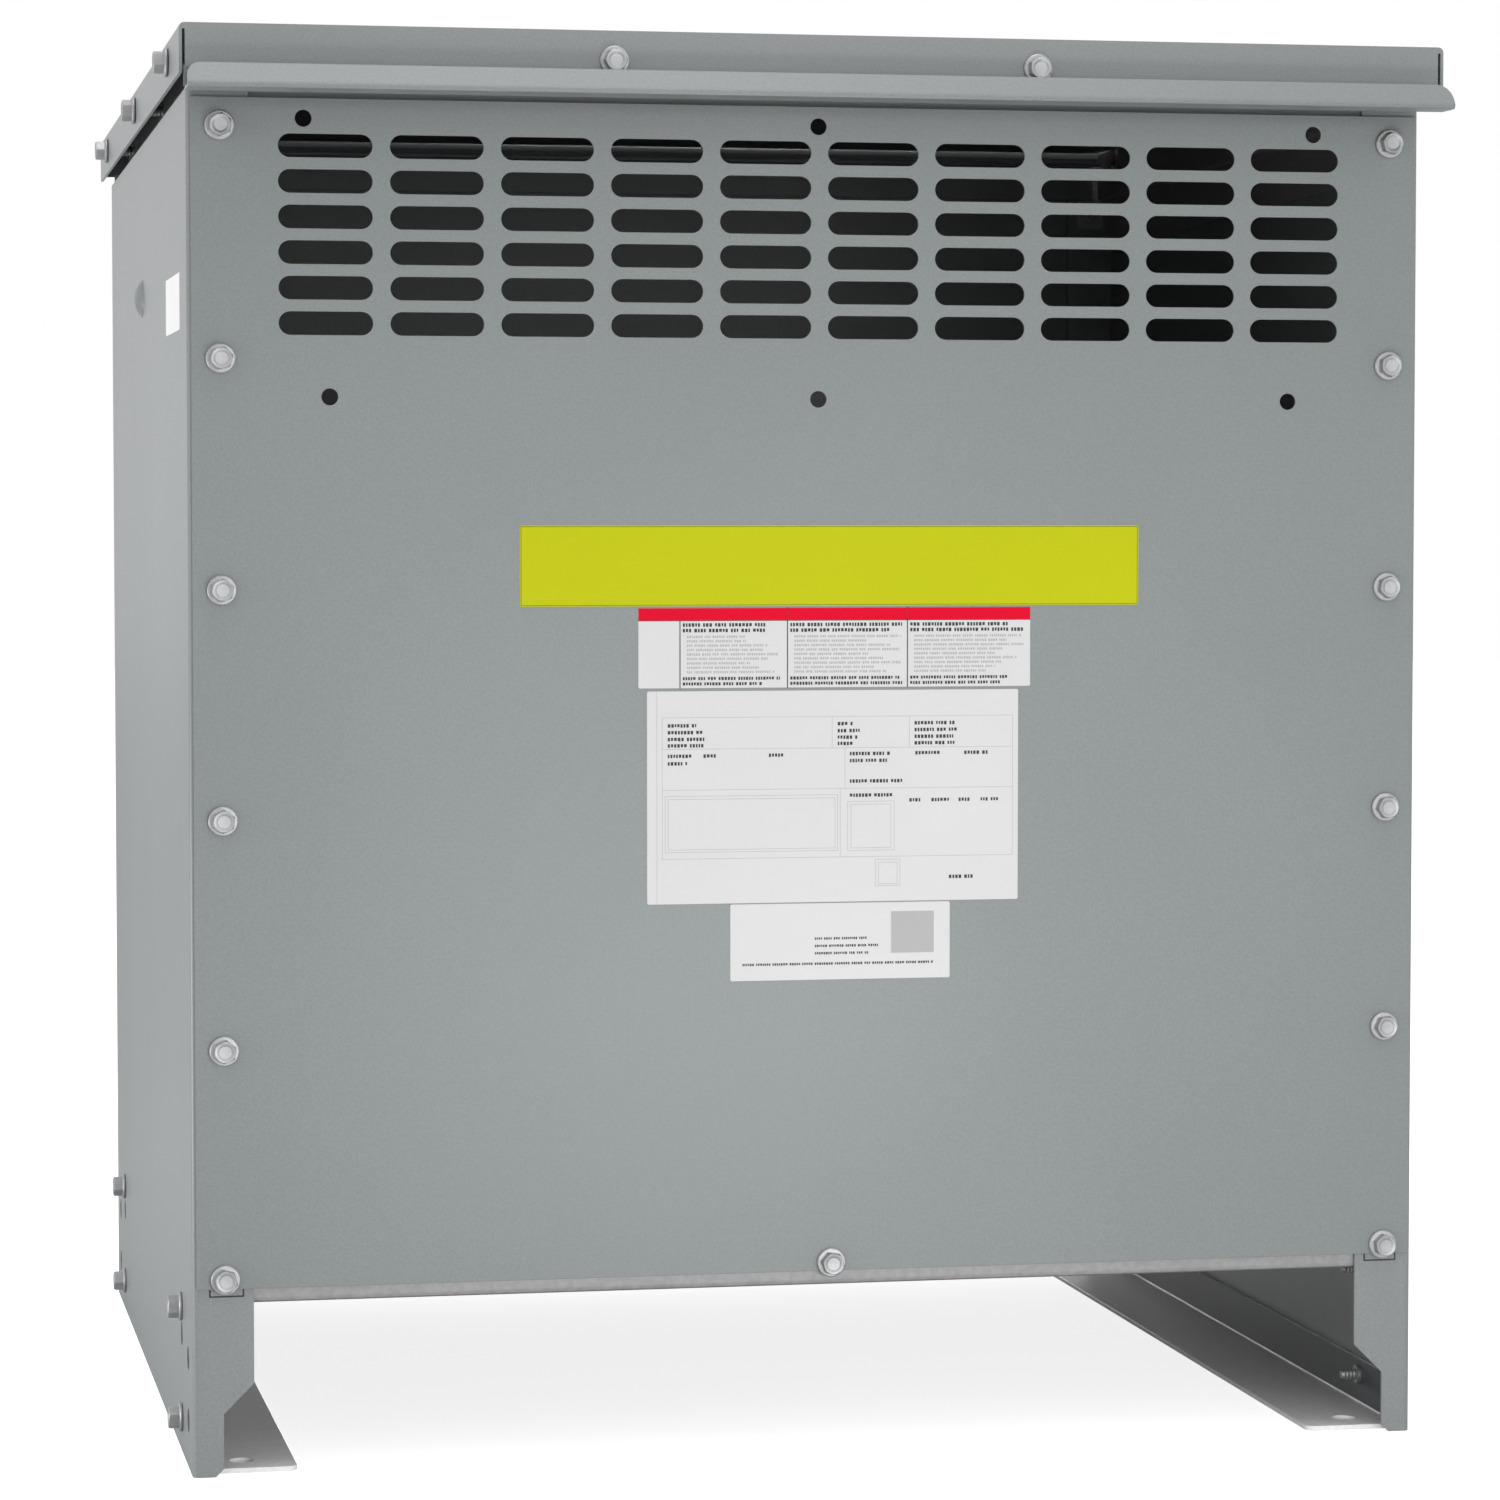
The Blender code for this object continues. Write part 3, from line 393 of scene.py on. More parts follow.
def finishes():
    """Every finish of the object, by a plain name."""
    return {
        "frame_paint": speckled("grey_powder_coat", (0.243, 0.261, 0.263), 0.40),
        "panel_paint": speckled("light_grey_powder_coat", (0.222, 0.243, 0.245), 0.42),
        "plain_steel": speckled("galvanised_steel", (0.335, 0.335, 0.335), 0.45,
                                300.0, 0.0001, 0.07, 0.25),
        # painted highlight: near-white steel for the lit flat flange of the foot angles
        "painted_lit_foot_steel": speckled("painted_lit_galvanised_steel", (0.95, 0.95, 0.95), 0.42,
                               300.0, 0.00005, 0.04),
        # dark paint of the core clamps and support channels; also painted shade inside the top cover and
        # on the foot angles' upright flanges
        "dark_paint_and_shade": speckled("dark_paint_and_painted_shade", (0.085, 0.09, 0.095), 0.5, 500.0, 0.0002, 0.1),
        "zinc": speckled("dull_zinc_plate", (0.42, 0.425, 0.43), 0.5, 1400.0, 0.00006, 0.07, 0.8),
        "core": laminated_steel(),
        "wire": varnished_wire(),
        "paper": barrier_paper(),
        "board": glass_laminate(),
        # painted shade: the bars' aluminium is darkened past its own tone so that they read dark through
        # the front panel's holes
        "bus_metal": drawn_metal("bus_aluminium_with_painted_shade", (0.20, 0.20, 0.21), 0.5, (1.0, 1.0, 0.04)),
        "brass": drawn_metal("turned_brass", (0.62, 0.45, 0.19), 0.3, (1.0, 0.05, 1.0)),
        "copper": drawn_metal("tinned_copper_braid", (0.62, 0.34, 0.21), 0.4, (0.3, 0.3, 1.0)),
        "rubber": speckled("black_moulded_rubber", (0.028, 0.028, 0.03), 0.75, 700.0, 0.0003, 0.2),
        # the sleeve's dark brown is partly the varnished sleeving's own tone and partly painted shade,
        # for the leads seen through the front panel's holes
        "sleeve": speckled("dark_glass_sleeve_with_painted_shade", (0.10, 0.075, 0.05), 0.55,
                           1100.0, 0.0003, 0.14),
        "white_label": matt_print("white_label_film", (0.70, 0.70, 0.70), 0.01),
        # painted light: a lighter copy of the label film, for the side slip in the stronger light from
        # the left
        "painted_lit_label": matt_print("painted_lit_label_film", (0.93, 0.93, 0.93), 0.01),
        "yellow_label": matt_print("yellow_label_film", (0.545, 0.57, 0.004), specular=0.1),
        "red_ink": matt_print("red_label_ink", (0.77, 0.004, 0.030), specular=0.05),
        # dark ink of the label print; also the painted shade of the clip windows
        "dark_ink_and_shade": matt_print("dark_label_ink_and_painted_shade", (0.05, 0.05, 0.05), 0.05, 0.6),
        "grey_ink": matt_print("grey_label_ink", (0.46, 0.46, 0.46), roughness=0.6),
        "olive_ink": matt_print("olive_label_ink", (0.16, 0.17, 0.03), 0.03, 0.6),
    }


FINISH = finishes()


def finished_piece(name, mesh, finish, body, slot, *nodes):
    return fit(new_piece(name, mesh, FINISH[finish]), body, slot, *nodes)


# ---------------------------------------------------------------- geometry trees
def geometry_tree(name, inputs):
    """A Geometry Nodes tree with named inputs; gives the tree, its inputs and its result socket."""
    tree = bpy.data.node_groups.new(name, "GeometryNodeTree")
    tree.interface.new_socket("Geometry", in_out="INPUT", socket_type="NodeSocketGeometry")
    tree.interface.new_socket("Geometry", in_out="OUTPUT", socket_type="NodeSocketGeometry")
    for label, kind in inputs.items():
        tree.interface.new_socket(label, in_out="INPUT", socket_type="NodeSocket" + kind)
    given = tree.nodes.new("NodeGroupInput").outputs
    result = tree.nodes.new("NodeGroupOutput").inputs["Geometry"]
    return tree, given, result


def close_tree(tree, result, geometry, given):
    """Every tree ends in real geometry with its finish on."""
    real = node(tree, "GeometryNodeRealizeInstances", {"Geometry": geometry}).outputs["Geometry"]
    done = node(tree, "GeometryNodeSetMaterial", {"Geometry": real, "Material": given["Finish"]})
    tree.links.new(done.outputs["Geometry"], result)
    return tree


def grow(name, tree, base, values):
    """Run a tree on a base mesh and keep the result as a plain mesh."""
    piece = new_piece(name, base)
    modifier = piece.modifiers.new("growth", "NODES")
    modifier.node_group = tree
    for item in tree.interface.items_tree:
        if item.in_out == "INPUT" and item.name in values:
            modifier[item.identifier] = values[item.name]
    mesh = finished_mesh(piece)
    piece.modifiers.clear()
    piece.data = mesh
    mesh.name = name
    return piece


def points_mesh(name, places, heads=None, widths=None):
    """Loose points, with the way each one faces or its width."""
    mesh = bpy.data.meshes.new(name)
    mesh.from_pydata([tuple(place) for place in places], [], [])
    if heads is not None:
        facing = mesh.attributes.new("head", "FLOAT_VECTOR", "POINT")
        for item, head in zip(facing.data, heads):
            item.vector = head
    if widths is not None:
        width = mesh.attributes.new("width", "FLOAT", "POINT")
        for item, value in zip(width.data, widths):
            item.value = value
    return mesh


def joined(tree, *parts):
    join = tree.nodes.new("GeometryNodeJoinGeometry")
    for part in parts:
        tree.links.new(part, join.inputs["Geometry"])
    return join.outputs["Geometry"]


def moved(tree, geometry, by, turn=(0.0, 0.0, 0.0)):
    return node(tree, "GeometryNodeTransform",
                {"Geometry": geometry, "Translation": by, "Rotation": turn}).outputs["Geometry"]


def copies(tree, points, item, **more):
    """The same item at every point."""
    return node(tree, "GeometryNodeInstanceOnPoints",
                {"Points": points, "Instance": item, **more}).outputs["Instances"]


def rectangle(tree, width, height):
    return node(tree, "GeometryNodeCurvePrimitiveQuadrilateral",
                {"Width": width, "Height": height}).outputs["Curve"]


def rounded_rectangle(tree, width, height, radius, count):
    """A rectangle whose corners are rounded in a count of steps."""
    return node(tree, "GeometryNodeFilletCurve",
                {"Curve": rectangle(tree, width, height), "Radius": radius,
                 "Limit Radius": True, "Count": count}, mode="POLY").outputs["Curve"]


def slotted_sheet_tree():
    """A flat sheet in the plane of X and Z, with a grid of slots and round holes at the points."""
    tree, given, result = geometry_tree("slotted_sheet", {
        "Width": "Float", "Height": "Float", "Thickness": "Float", "Centre": "Vector",
        "Columns": "Int", "Rows": "Int", "Grid Width": "Float", "Grid Height": "Float",
        "Slot Length": "Float", "Slot Height": "Float", "End Radius": "Float",
        "Grid Centre": "Vector", "Back": "Vector", "Finish": "Material"})
    sheet = moved(tree, rectangle(tree, given["Width"], given["Height"]), given["Centre"])
    slot = rounded_rectangle(tree, given["Slot Length"], given["Slot Height"], given["End Radius"], 9)
    grid = node(tree, "GeometryNodeMeshGrid",
                {"Size X": given["Grid Width"], "Size Y": given["Grid Height"],
                 "Vertices X": given["Columns"], "Vertices Y": given["Rows"]}).outputs["Mesh"]
    slots = copies(tree, moved(tree, grid, given["Grid Centre"]), slot)
    ring = node(tree, "GeometryNodeCurvePrimitiveCircle", {"Resolution": 28, "Radius": 0.5})
    width = node(tree, "GeometryNodeInputNamedAttribute", {"Name": "width"}, data_type="FLOAT")
    holes = copies(tree, given["Geometry"], ring.outputs["Curve"], Scale=width.outputs["Attribute"])
    edges = node(tree, "GeometryNodeRealizeInstances",
                 {"Geometry": joined(tree, sheet, slots, holes)}).outputs["Geometry"]
    flat = node(tree, "GeometryNodeFillCurve", {"Curve": edges}, mode="NGONS").outputs["Mesh"]
    raised = node(tree, "GeometryNodeExtrudeMesh",
                  {"Mesh": flat, "Offset Scale": given["Thickness"], "Individual": False}).outputs["Mesh"]
    back = node(tree, "GeometryNodeFlipFaces", {"Mesh": flat}).outputs["Mesh"]
    closed = node(tree, "GeometryNodeMergeByDistance",
                  {"Geometry": joined(tree, raised, back), "Distance": MERGE / 5}).outputs["Geometry"]
    upright = moved(tree, closed, given["Back"], (math.pi / 2, 0.0, 0.0))
    return close_tree(tree, result, upright, given)


def fastener_tree():
    """The same fastener at every point, head along its direction, turned at random."""
    tree, given, result = geometry_tree("fasteners", {
        "Fastener": "Object", "Turn": "Float", "Seed": "Int", "Finish": "Material"})
    item = node(tree, "GeometryNodeObjectInfo", {"Object": given["Fastener"]}).outputs["Geometry"]
    head = node(tree, "GeometryNodeInputNamedAttribute", {"Name": "head"}, data_type="FLOAT_VECTOR")
    facing = node(tree, "FunctionNodeAlignRotationToVector",
                  {"Vector": head.outputs["Attribute"]}, axis="Z")
    spin = node(tree, "FunctionNodeRandomValue",
                {3: given["Turn"], "Seed": given["Seed"]}, data_type="FLOAT")
    about = node(tree, "ShaderNodeCombineXYZ", {"Z": spin.outputs[1]})
    about = node(tree, "FunctionNodeEulerToRotation", {"Euler": about.outputs["Vector"]})
    turned = node(tree, "FunctionNodeRotateRotation",
                  {"Rotation": facing.outputs["Rotation"], "Rotate By": about.outputs["Rotation"]},
                  rotation_space="LOCAL")
    placed = copies(tree, given["Geometry"], item, Rotation=turned.outputs["Rotation"])
    return close_tree(tree, result, placed, given)


def coil_tree():
    """Sweep the wall's section, given as the base mesh, round a rounded rectangle."""
    tree, given, result = geometry_tree("wound_coil", {
        "Width": "Float", "Depth": "Float", "Corner": "Float", "Centre": "Vector", "Finish": "Material"})
    path = rounded_rectangle(tree, given["Width"], given["Depth"], given["Corner"], 6)
    path = node(tree, "GeometryNodeSetCurveNormal", {"Curve": path}, mode="Z_UP")
    wall = node(tree, "GeometryNodeMeshToCurve", {"Mesh": given["Geometry"]})
    swept = node(tree, "GeometryNodeCurveToMesh",
                 {"Curve": path.outputs["Curve"], "Profile Curve": wall.outputs["Curve"]})
    return close_tree(tree, result, moved(tree, swept.outputs["Mesh"], given["Centre"]), given)


def ring_of_sticks_tree():
    """Upright sticks spaced evenly round a rounded rectangle at each point."""
    tree, given, result = geometry_tree("ring_of_sticks", {
        "Width": "Float", "Depth": "Float", "Corner": "Float", "Count": "Int",
        "Stick": "Object", "Finish": "Material"})
    path = rounded_rectangle(tree, given["Width"], given["Depth"], given["Corner"], 6)
    spaced = node(tree, "GeometryNodeCurveToPoints",
                  {"Curve": path, "Count": given["Count"]}, mode="COUNT")
    along = node(tree, "FunctionNodeAlignRotationToVector", {"Vector": spaced.outputs["Tangent"]},
                 axis="X", pivot_axis="Z")
    item = node(tree, "GeometryNodeObjectInfo", {"Object": given["Stick"]}).outputs["Geometry"]
    ring = copies(tree, spaced.outputs["Points"], item, Rotation=along.outputs["Rotation"])
    return close_tree(tree, result, copies(tree, given["Geometry"], ring), given)


FASTENERS = fastener_tree()
COIL = coil_tree()
STICKS = ring_of_sticks_tree()


# ---------------------------------------------------------------- fasteners
def turned_mesh(name, levels, count=24):
    """A closed shape from rings, each given as a height and a radius for every angle."""
    shape = bmesh.new()
    rings = []
    for height, radius_at in levels:
        ring = []
        for i in range(count):
            angle = 2 * math.pi * i / count
            radius = radius_at(angle)
            ring.append(shape.verts.new((radius * math.cos(angle), radius * math.sin(angle), height)))
        rings.append(ring)
    for lower, upper in zip(rings, rings[1:]):
        walls(shape, lower, upper)
    shape.faces.new(rings[0][::-1])
    shape.faces.new(rings[-1])
    mesh = mesh_from(name, shape)
    smooth(mesh, 28)
    return mesh


def round_at(diameter):
    return lambda angle: diameter / 2


def hex_at(flats, limit=1.0):
    """Radius of a hexagon, its corners cut by a cone to a share of their reach."""
    sector = math.pi / 3
    cut = flats / math.sqrt(3) * limit
    return lambda angle: min(cut, flats / 2 / math.cos((angle + sector / 2) % sector - sector / 2))


def hex_screw(name, shank=SHANK, length=PANEL_SHANK, washer=WASHER, washer_height=WASHER_HEIGHT,
              flats=HEX, height=HEX_HEIGHT, pitch=THREAD_PITCH):
    """Hexagon screw with a formed washer, a dished head and a threaded, blunt shank."""
    root = shank * THREAD_ROOT
    tip = length * TIP_TAPER[0]
    levels = [(-length, round_at(shank * BLUNT_TIP))]
    turns = max(2, int((length - NECK) / pitch))
    for i in range(turns):
        low = -length + RELIEF + i * (length - NECK - RELIEF) / turns
        taper = min(1.0, TIP_TAPER[1] + (1.0 - TIP_TAPER[1]) * (low + length) / tip)
        levels.append((low, round_at(root * taper)))
        levels.append((low + pitch * CREST, round_at(shank * taper)))
    ease = washer_height * WASHER_EASE
    levels += [(-RELIEF, round_at(root)), (0.0, round_at(washer - 2 * ease)), (ease, round_at(washer)),
               (washer_height - ease, round_at(washer)), (washer_height, round_at(washer - 2 * ease)),
               (washer_height + 0.0001, hex_at(flats))]
    top = washer_height + height
    levels.append((top - HEAD_CHAMFER, hex_at(flats)))
    levels += [(top - depth, hex_at(flats, share)) for depth, share in HEAD_CROWN]
    levels += [(top - depth, round_at(flats * share)) for depth, share in HEAD_DISH]
    return turned_mesh(name, levels)


def clip_nut(name):
    """Spring plate with a drawn collar, seen from the inside of a flange."""
    shape = bmesh.new()
    plate = rounded_outline((-CLIP_WIDE / 2, -CLIP_TALL / 2), (CLIP_WIDE / 2, CLIP_TALL / 2), CLIP_CORNER)
    collar = [(COLLAR / 2 * math.cos(a * math.pi / 8), COLLAR / 2 * math.sin(a * math.pi / 8))
              for a in range(16)]
    for back, front, outline in ((-CLIP_SHEET, 0.0, plate), (-COLLAR_DEPTH, -CLIP_SHEET, collar)):
        prism(shape, *[[shape.verts.new((x, y, z)) for x, y in outline] for z in (back, front)])
    mesh = mesh_from(name, shape)
    smooth(mesh)
    return mesh


def fasten(name, template, places, heads, *nodes, body="frame", finish="zinc", slot="zinc_plate",
           turn=math.pi / 3, seed=1):
    """Put one kind of fastener at each place, as one piece."""
    pattern = new_piece(name + "_pattern", template)
    base = points_mesh(name, places, heads=heads)
    piece = grow(name, FASTENERS, base, {"Fastener": pattern, "Turn": turn, "Seed": seed,
                                         "Finish": FINISH[finish]})
    bpy.data.objects.remove(pattern, do_unlink=True)
    return fit(piece, body, slot, *nodes)


def screw_seat(node_name, axis, side):
    """Centre of a frame screw's seat under its washer."""
    low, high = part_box(node_name)
    seat = (low + high) / 2
    seat[axis] = high[axis] - HEAD_HEIGHT if side > 0 else low[axis] + HEAD_HEIGHT
    return seat


def all_fasteners():
    front_nodes = ["front_panel_screw_" + str(i + 1) for i in range(PANEL_SCREWS)]
    front = [screw_seat(name, 1, -1) for name in front_nodes]
    forward, back = Vector((0, -1, 0)), Vector((0, 1, 0))
    fasten("front_panel_screws", hex_screw("panel_screw"), front, [forward] * PANEL_SCREWS,
           *front_nodes, body="front_panel", seed=3)
    rear = [Vector((seat.x, REAR_FACE, seat.z)) for seat in front]
    fasten("rear_panel_screws", hex_screw("panel_screw"), rear, [back] * PANEL_SCREWS,
           body="rear_panel", seed=5)

    side_nodes = ["%s_cover_screw_%d" % (side, i) for side in ("left", "right") for i in (1, 2, 3)]
    seats, heads = [], []
    for name in side_nodes:
        side = -1 if name.startswith("left") else 1
        seats.append(screw_seat(name, 0, side))
        heads.append(Vector((side, 0, 0)))
    fasten("cover_side_screws", hex_screw("cover_screw", length=COVER_SHANK), seats, heads,
           *side_nodes, body="top_cover", seed=7)
    face = [Vector((x, COVER_FRONT, COVER_FACE_SCREW_Z)) for x in COVER_FACE_SCREWS]
    fasten("cover_face_screws", hex_screw("cover_screw"), face, [forward, forward],
           body="top_cover", seed=9)

    low, low_heads = [], []
    for side, wall in ((-1, LEFT_LOW.x), (1, RIGHT_FACE)):
        for y in (LEFT_LOW.y + LOW_SIDE_INSET, LEFT_HIGH.y - LOW_SIDE_INSET):
            for z in LOW_SIDE_SCREWS:
                low.append(Vector((wall, y, z)))
                low_heads.append(Vector((side, 0, 0)))
    fasten("low_side_screws", hex_screw("side_screw"), low, low_heads, seed=11)

    nuts, nut_heads = [], []
    for seat in front:
        if abs(seat.x) > CLIP_COLUMN:
            nuts += [Vector((seat.x, LEFT_LOW.y + SIDE_SHEET, seat.z)),
                     Vector((seat.x, LEFT_HIGH.y - SIDE_SHEET, seat.z))]
            nut_heads += [forward, back]
    for seat, head in zip(low, low_heads):
        nuts.append(seat - head * SIDE_SHEET)
        nut_heads.append(head)
    fasten("clip_nuts", clip_nut("clip_nut"), nuts, nut_heads, turn=0.0)


# ---------------------------------------------------------------- sheet metal
def eased_copy(node_name, finish, slot, width=EDGE, suffix="_sheet"):
    """The frame's own shape with its flat faces whole, its edges eased and its finish on."""
    shape = bmesh.new()
    shape.from_mesh(frame["nodes"][node_name].data)
    bmesh.ops.remove_doubles(shape, verts=shape.verts, dist=MERGE)
    bmesh.ops.dissolve_limit(shape, angle_limit=FLAT_ANGLE, verts=shape.verts, edges=shape.edges)
    mesh = bpy.data.meshes.new(node_name + suffix)
    shape.to_mesh(mesh)
    shape.free()
    piece = finished_piece(node_name + suffix, mesh, finish, BODY_OF[node_name], slot, node_name)
    ease_edges(piece, width)
    return piece


def slotted_front():
    """Front panel with finer slots than the frame's."""
    middle = (PANEL_LOW.z + PANEL_HIGH.z) / 2
    rows_middle = SLOT_TOP_ROW - (SLOT_ROWS - 1) / 2 * SLOT_PITCH_Z
    holes = points_mesh("pilot_holes", [(x, z, 0.0) for x, z in PILOT_HOLES],
                        widths=[PILOT_HOLE] * len(PILOT_HOLES))
    piece = grow("front_panel_sheet", slotted_sheet_tree(), holes, {
        "Width": PANEL_HIGH.x - PANEL_LOW.x, "Height": PANEL_HIGH.z - PANEL_LOW.z,
        "Thickness": PANEL_HIGH.y - PANEL_LOW.y, "Centre": (0.0, middle, 0.0),
        "Columns": SLOT_COLUMNS, "Rows": SLOT_ROWS,
        "Grid Width": (SLOT_COLUMNS - 1) * SLOT_PITCH_X, "Grid Height": (SLOT_ROWS - 1) * SLOT_PITCH_Z,
        "Slot Length": SLOT_LENGTH, "Slot Height": SLOT_HEIGHT, "End Radius": SLOT_END,
        "Grid Centre": (SLOT_SHIFT, rows_middle, 0.0), "Back": (0.0, PANEL_HIGH.y, 0.0),
        "Finish": FINISH["panel_paint"]})
    ease_edges(piece, EDGE)
    return fit(piece, "front_panel", "enclosure_paint", "front_panel")


def emboss(name, side, wall):
    """Round dome pressed outwards from a side panel."""
    levels = [(-SIDE_SHEET / 2, round_at(2 * EMBOSS_RADIUS)), (0.0, round_at(2 * EMBOSS_RADIUS))]
    sphere = (EMBOSS_RADIUS ** 2 + EMBOSS_RISE ** 2) / (2 * EMBOSS_RISE)
    for i in range(1, EMBOSS_STEPS + 1):
        reach = EMBOSS_RADIUS * math.cos(math.pi / 2 * i / (EMBOSS_STEPS + 1))
        height = math.sqrt(sphere ** 2 - reach ** 2) - (sphere - EMBOSS_RISE)
        levels.append((height, round_at(2 * reach)))
    mesh = turned_mesh(name, levels, 36)
    turn = Vector((0, 0, 1)).rotation_difference(Vector((side, 0, 0))).to_matrix().to_4x4()
    mesh.transform(Matrix.Translation((wall, EMBOSS_Y, EMBOSS_Z)) @ turn)
    return finished_piece(name, mesh, "frame_paint", "frame", "enclosure_paint")


def clip_leaves():
    """Lower edges of the bottom corner clips, in their punched windows under the panel; each window is a
    thin dark plate of painted shade.
    """
    for label, finish, margin, back, thickness in (
            # painted shade: a thin dark plate fills each punched window
            ("clip_windows", "dark_ink_and_shade", 0.0003, 0.0, WINDOW_SHADE_COAT),
            ("clip_leaves", "frame_paint", -0.0005, WINDOW_SHADE_COAT, LEAF_COAT)):
        shape = bmesh.new()
        for side in (-1, 1):
            ends = sorted((side * (CLIP_WINDOW[0] - margin), side * (CLIP_WINDOW[1] + margin)))
            low, high = (ends[0], CLIP_WINDOW_LOW - margin), (ends[1], CLIP_WINDOW_HIGH)
            thin_plate(shape, low, high, front_of(LEFT_LOW.y - back), thickness, 0.0003)
        finished_piece(label, mesh_from(label, shape), finish, "frame", "zinc_plate")


def shaded_cover():
    """Top cover with painted shade: the dark finish on the inside of its roof and of its rear flange
    stands for the shade inside the enclosure.
    """
    cover = eased_copy("top_cover", "frame_paint", "enclosure_paint")
    cover.data.materials.append(FINISH["dark_paint_and_shade"])
    # painted shade: the roof's underside and the rear flange's inner face take the dark finish
    for face in cover.data.polygons:
        under_roof = face.normal.z < -0.9 and face.area > ROOF_AREA
        behind_rear_flange = face.normal.y < -0.9 and face.center.y > 0.0
        if under_roof or behind_rear_flange:
            face.material_index = 1


def sheet_metal():
    slotted_front()
    shaded_cover()
    for name in ("left_side_panel", "right_side_panel", "front_header", "rear_header"):
        eased_copy(name, "frame_paint", "enclosure_paint")
    for name in ("left_cover_rail", "right_cover_rail", "front_base_rail", "rear_base_rail"):
        eased_copy(name, "plain_steel", "enclosure_paint")
    # foot angles: painted highlight on the flat flange's top and ends, painted shade on the upright
    # flange
    for name in ("left_foot_angle", "right_foot_angle"):
        angle = eased_copy(name, "dark_paint_and_shade", "enclosure_paint")
        angle.data.materials.append(FINISH["painted_lit_foot_steel"])
        for face in angle.data.polygons:
            flat = face.normal.z > 0.5 or face.center.z < FOOT_SHEET
            if flat or abs(face.normal.y) > 0.9:
                face.material_index = 1
    eased_copy("rear_panel", "panel_paint", "enclosure_paint")
    emboss("left_side_emboss", -1, LEFT_LOW.x)
    emboss("right_side_emboss", 1, RIGHT_FACE)
    clip_leaves()


# ---------------------------------------------------------------- labels
def front_of(face):
    """Maps a place on a front face and a height above it to a point."""
    return lambda across, up, out: (across, face - out, up)


def left_of(face):
    return lambda across, up, out: (face - out, across, up)


def thin_plate(shape, low, high, place, thickness, corner=0.0):
    """A thin closed plate, with rounded corners where asked, standing on a face."""
    outline = [(high[0], high[1]), (low[0], high[1]), (low[0], low[1]), (high[0], low[1])]
    if corner:
        outline = rounded_outline(low, high, corner)
    prism(shape, *[[shape.verts.new(place(x, z, out)) for x, z in outline] for out in (0.0, thickness)])


def printed(name, finish, bars, place, body, thickness=INK, corner=0.0):
    """Plates of one film or ink on a face: a label, or its printed bars and lines."""
    shape = bmesh.new()
    for low, high in bars:
        thin_plate(shape, low, high, place, thickness, corner)
    return finished_piece(name, mesh_from(name, shape), finish, body, "enclosure_paint")


def film(name, finish, label, place, body):
    return printed(name, finish, [label], place, body, FILM, FILM_CORNER)


def rule(start, end, width):
    """A thin line along X or Z, as a bar."""
    half = width / 2
    return ((min(start[0], end[0]) - half, min(start[1], end[1]) - half),
            (max(start[0], end[0]) + half, max(start[1], end[1]) + half))


def outline_rules(low, high, width):
    corners = [low, (high[0], low[1]), high, (low[0], high[1])]
    return [rule(corners[i], corners[(i + 1) % 4], width) for i in range(4)]


def dummy_lines(low, high, rows, height, short, pick):
    """Plain bars where rows of small print would be."""
    bars = []
    pitch = (high[1] - low[1]) / rows
    for i in range(rows):
        top = high[1] - i * pitch - (pitch - height) / 2
        reach = low[0] + (high[0] - low[0]) * pick.uniform(short, 1.0)
        bars.append(((low[0], top - height), (reach, top)))
    return bars


TICK_WIDTHS = (0.45, 0.8)      # widths, feet, gaps and rest are shares of a row's height
TICK_FEET = (0.0, 0.0, 0.12)
TICK_GAP, GROUP_GAP, ROW_REST = 0.28, 0.9, 0.3
TICKS_IN_GROUP = (3, 8)


def broken_up(bars, pick):
    """Each bar as a row of small ticks in groups, the rhythm of print without any letters."""
    ticks = []
    for (left, low), (right, high) in bars:
        size = high - low
        x, left_in_group = left, pick.randint(*TICKS_IN_GROUP)
        while x < right - ROW_REST * size:
            width = size * pick.uniform(*TICK_WIDTHS)
            foot = low + size * pick.choice(TICK_FEET)
            ticks.append(((x, foot), (min(x + width, right), high)))
            left_in_group -= 1
            x += width + size * (TICK_GAP if left_in_group else GROUP_GAP)
            left_in_group = left_in_group or pick.randint(*TICKS_IN_GROUP)
    return ticks


LABEL_FACE = front_of(PANEL_LOW.y)
INK_FACE = front_of(PANEL_LOW.y - FILM)
BAND = ((-0.1465, 0.4162), (0.1612, 0.4553))
NOTICE = ((-0.0888, 0.3766), (0.1063, 0.4153))
NOTICE_HEAD = 0.4092
NOTICE_COLUMNS = (-0.0684, -0.0153, 0.0445)
# lower and upper end, number of rows, height of a row, share of the width that the shortest fills
NOTICE_TOP_ROWS = (0.4031, 0.4085, 2, 0.0017, 0.8)
NOTICE_SMALL_ROWS = (0.3832, 0.4025, 9, 0.0012, 0.6)
NOTICE_LAST_ROWS = (0.3773, 0.3825, 2, 0.0015, 0.7)
COLUMN_START, COLUMN_END, SMALL_INDENT = 0.0014, 0.0022, 0.002
COLUMN_LINE, HEAD_LINE, FORM_LINE = 0.0005, 0.0003, 0.00022
BORDER_INSET = 0.0006
CAPTION_HEIGHT = 0.0017
SLIP_ROW, SLIP_ROW_PITCH = 0.0012, 0.0036
SLIP_ROWS = (0.026, 0.032, 0.027)        # lengths of the upper rows
SLIP_ROWS_LEFT, SLIP_ROWS_TOP = 0.042, 0.0195
SLIP_LAST_ROW, SLIP_MARGINS = 0.0072, (0.006, 0.008)
SLIP_SQUARE = (0.0295, 0.0125, 0.0045)   # from the right, the bottom and the top
PLATE = ((-0.0846, 0.2718), (0.1003, 0.3751))
SLIP = ((-0.0436, 0.2338), (0.0660, 0.2712))
SIDE_SLIP = ((-0.227, 0.5495), (-0.138, 0.577))


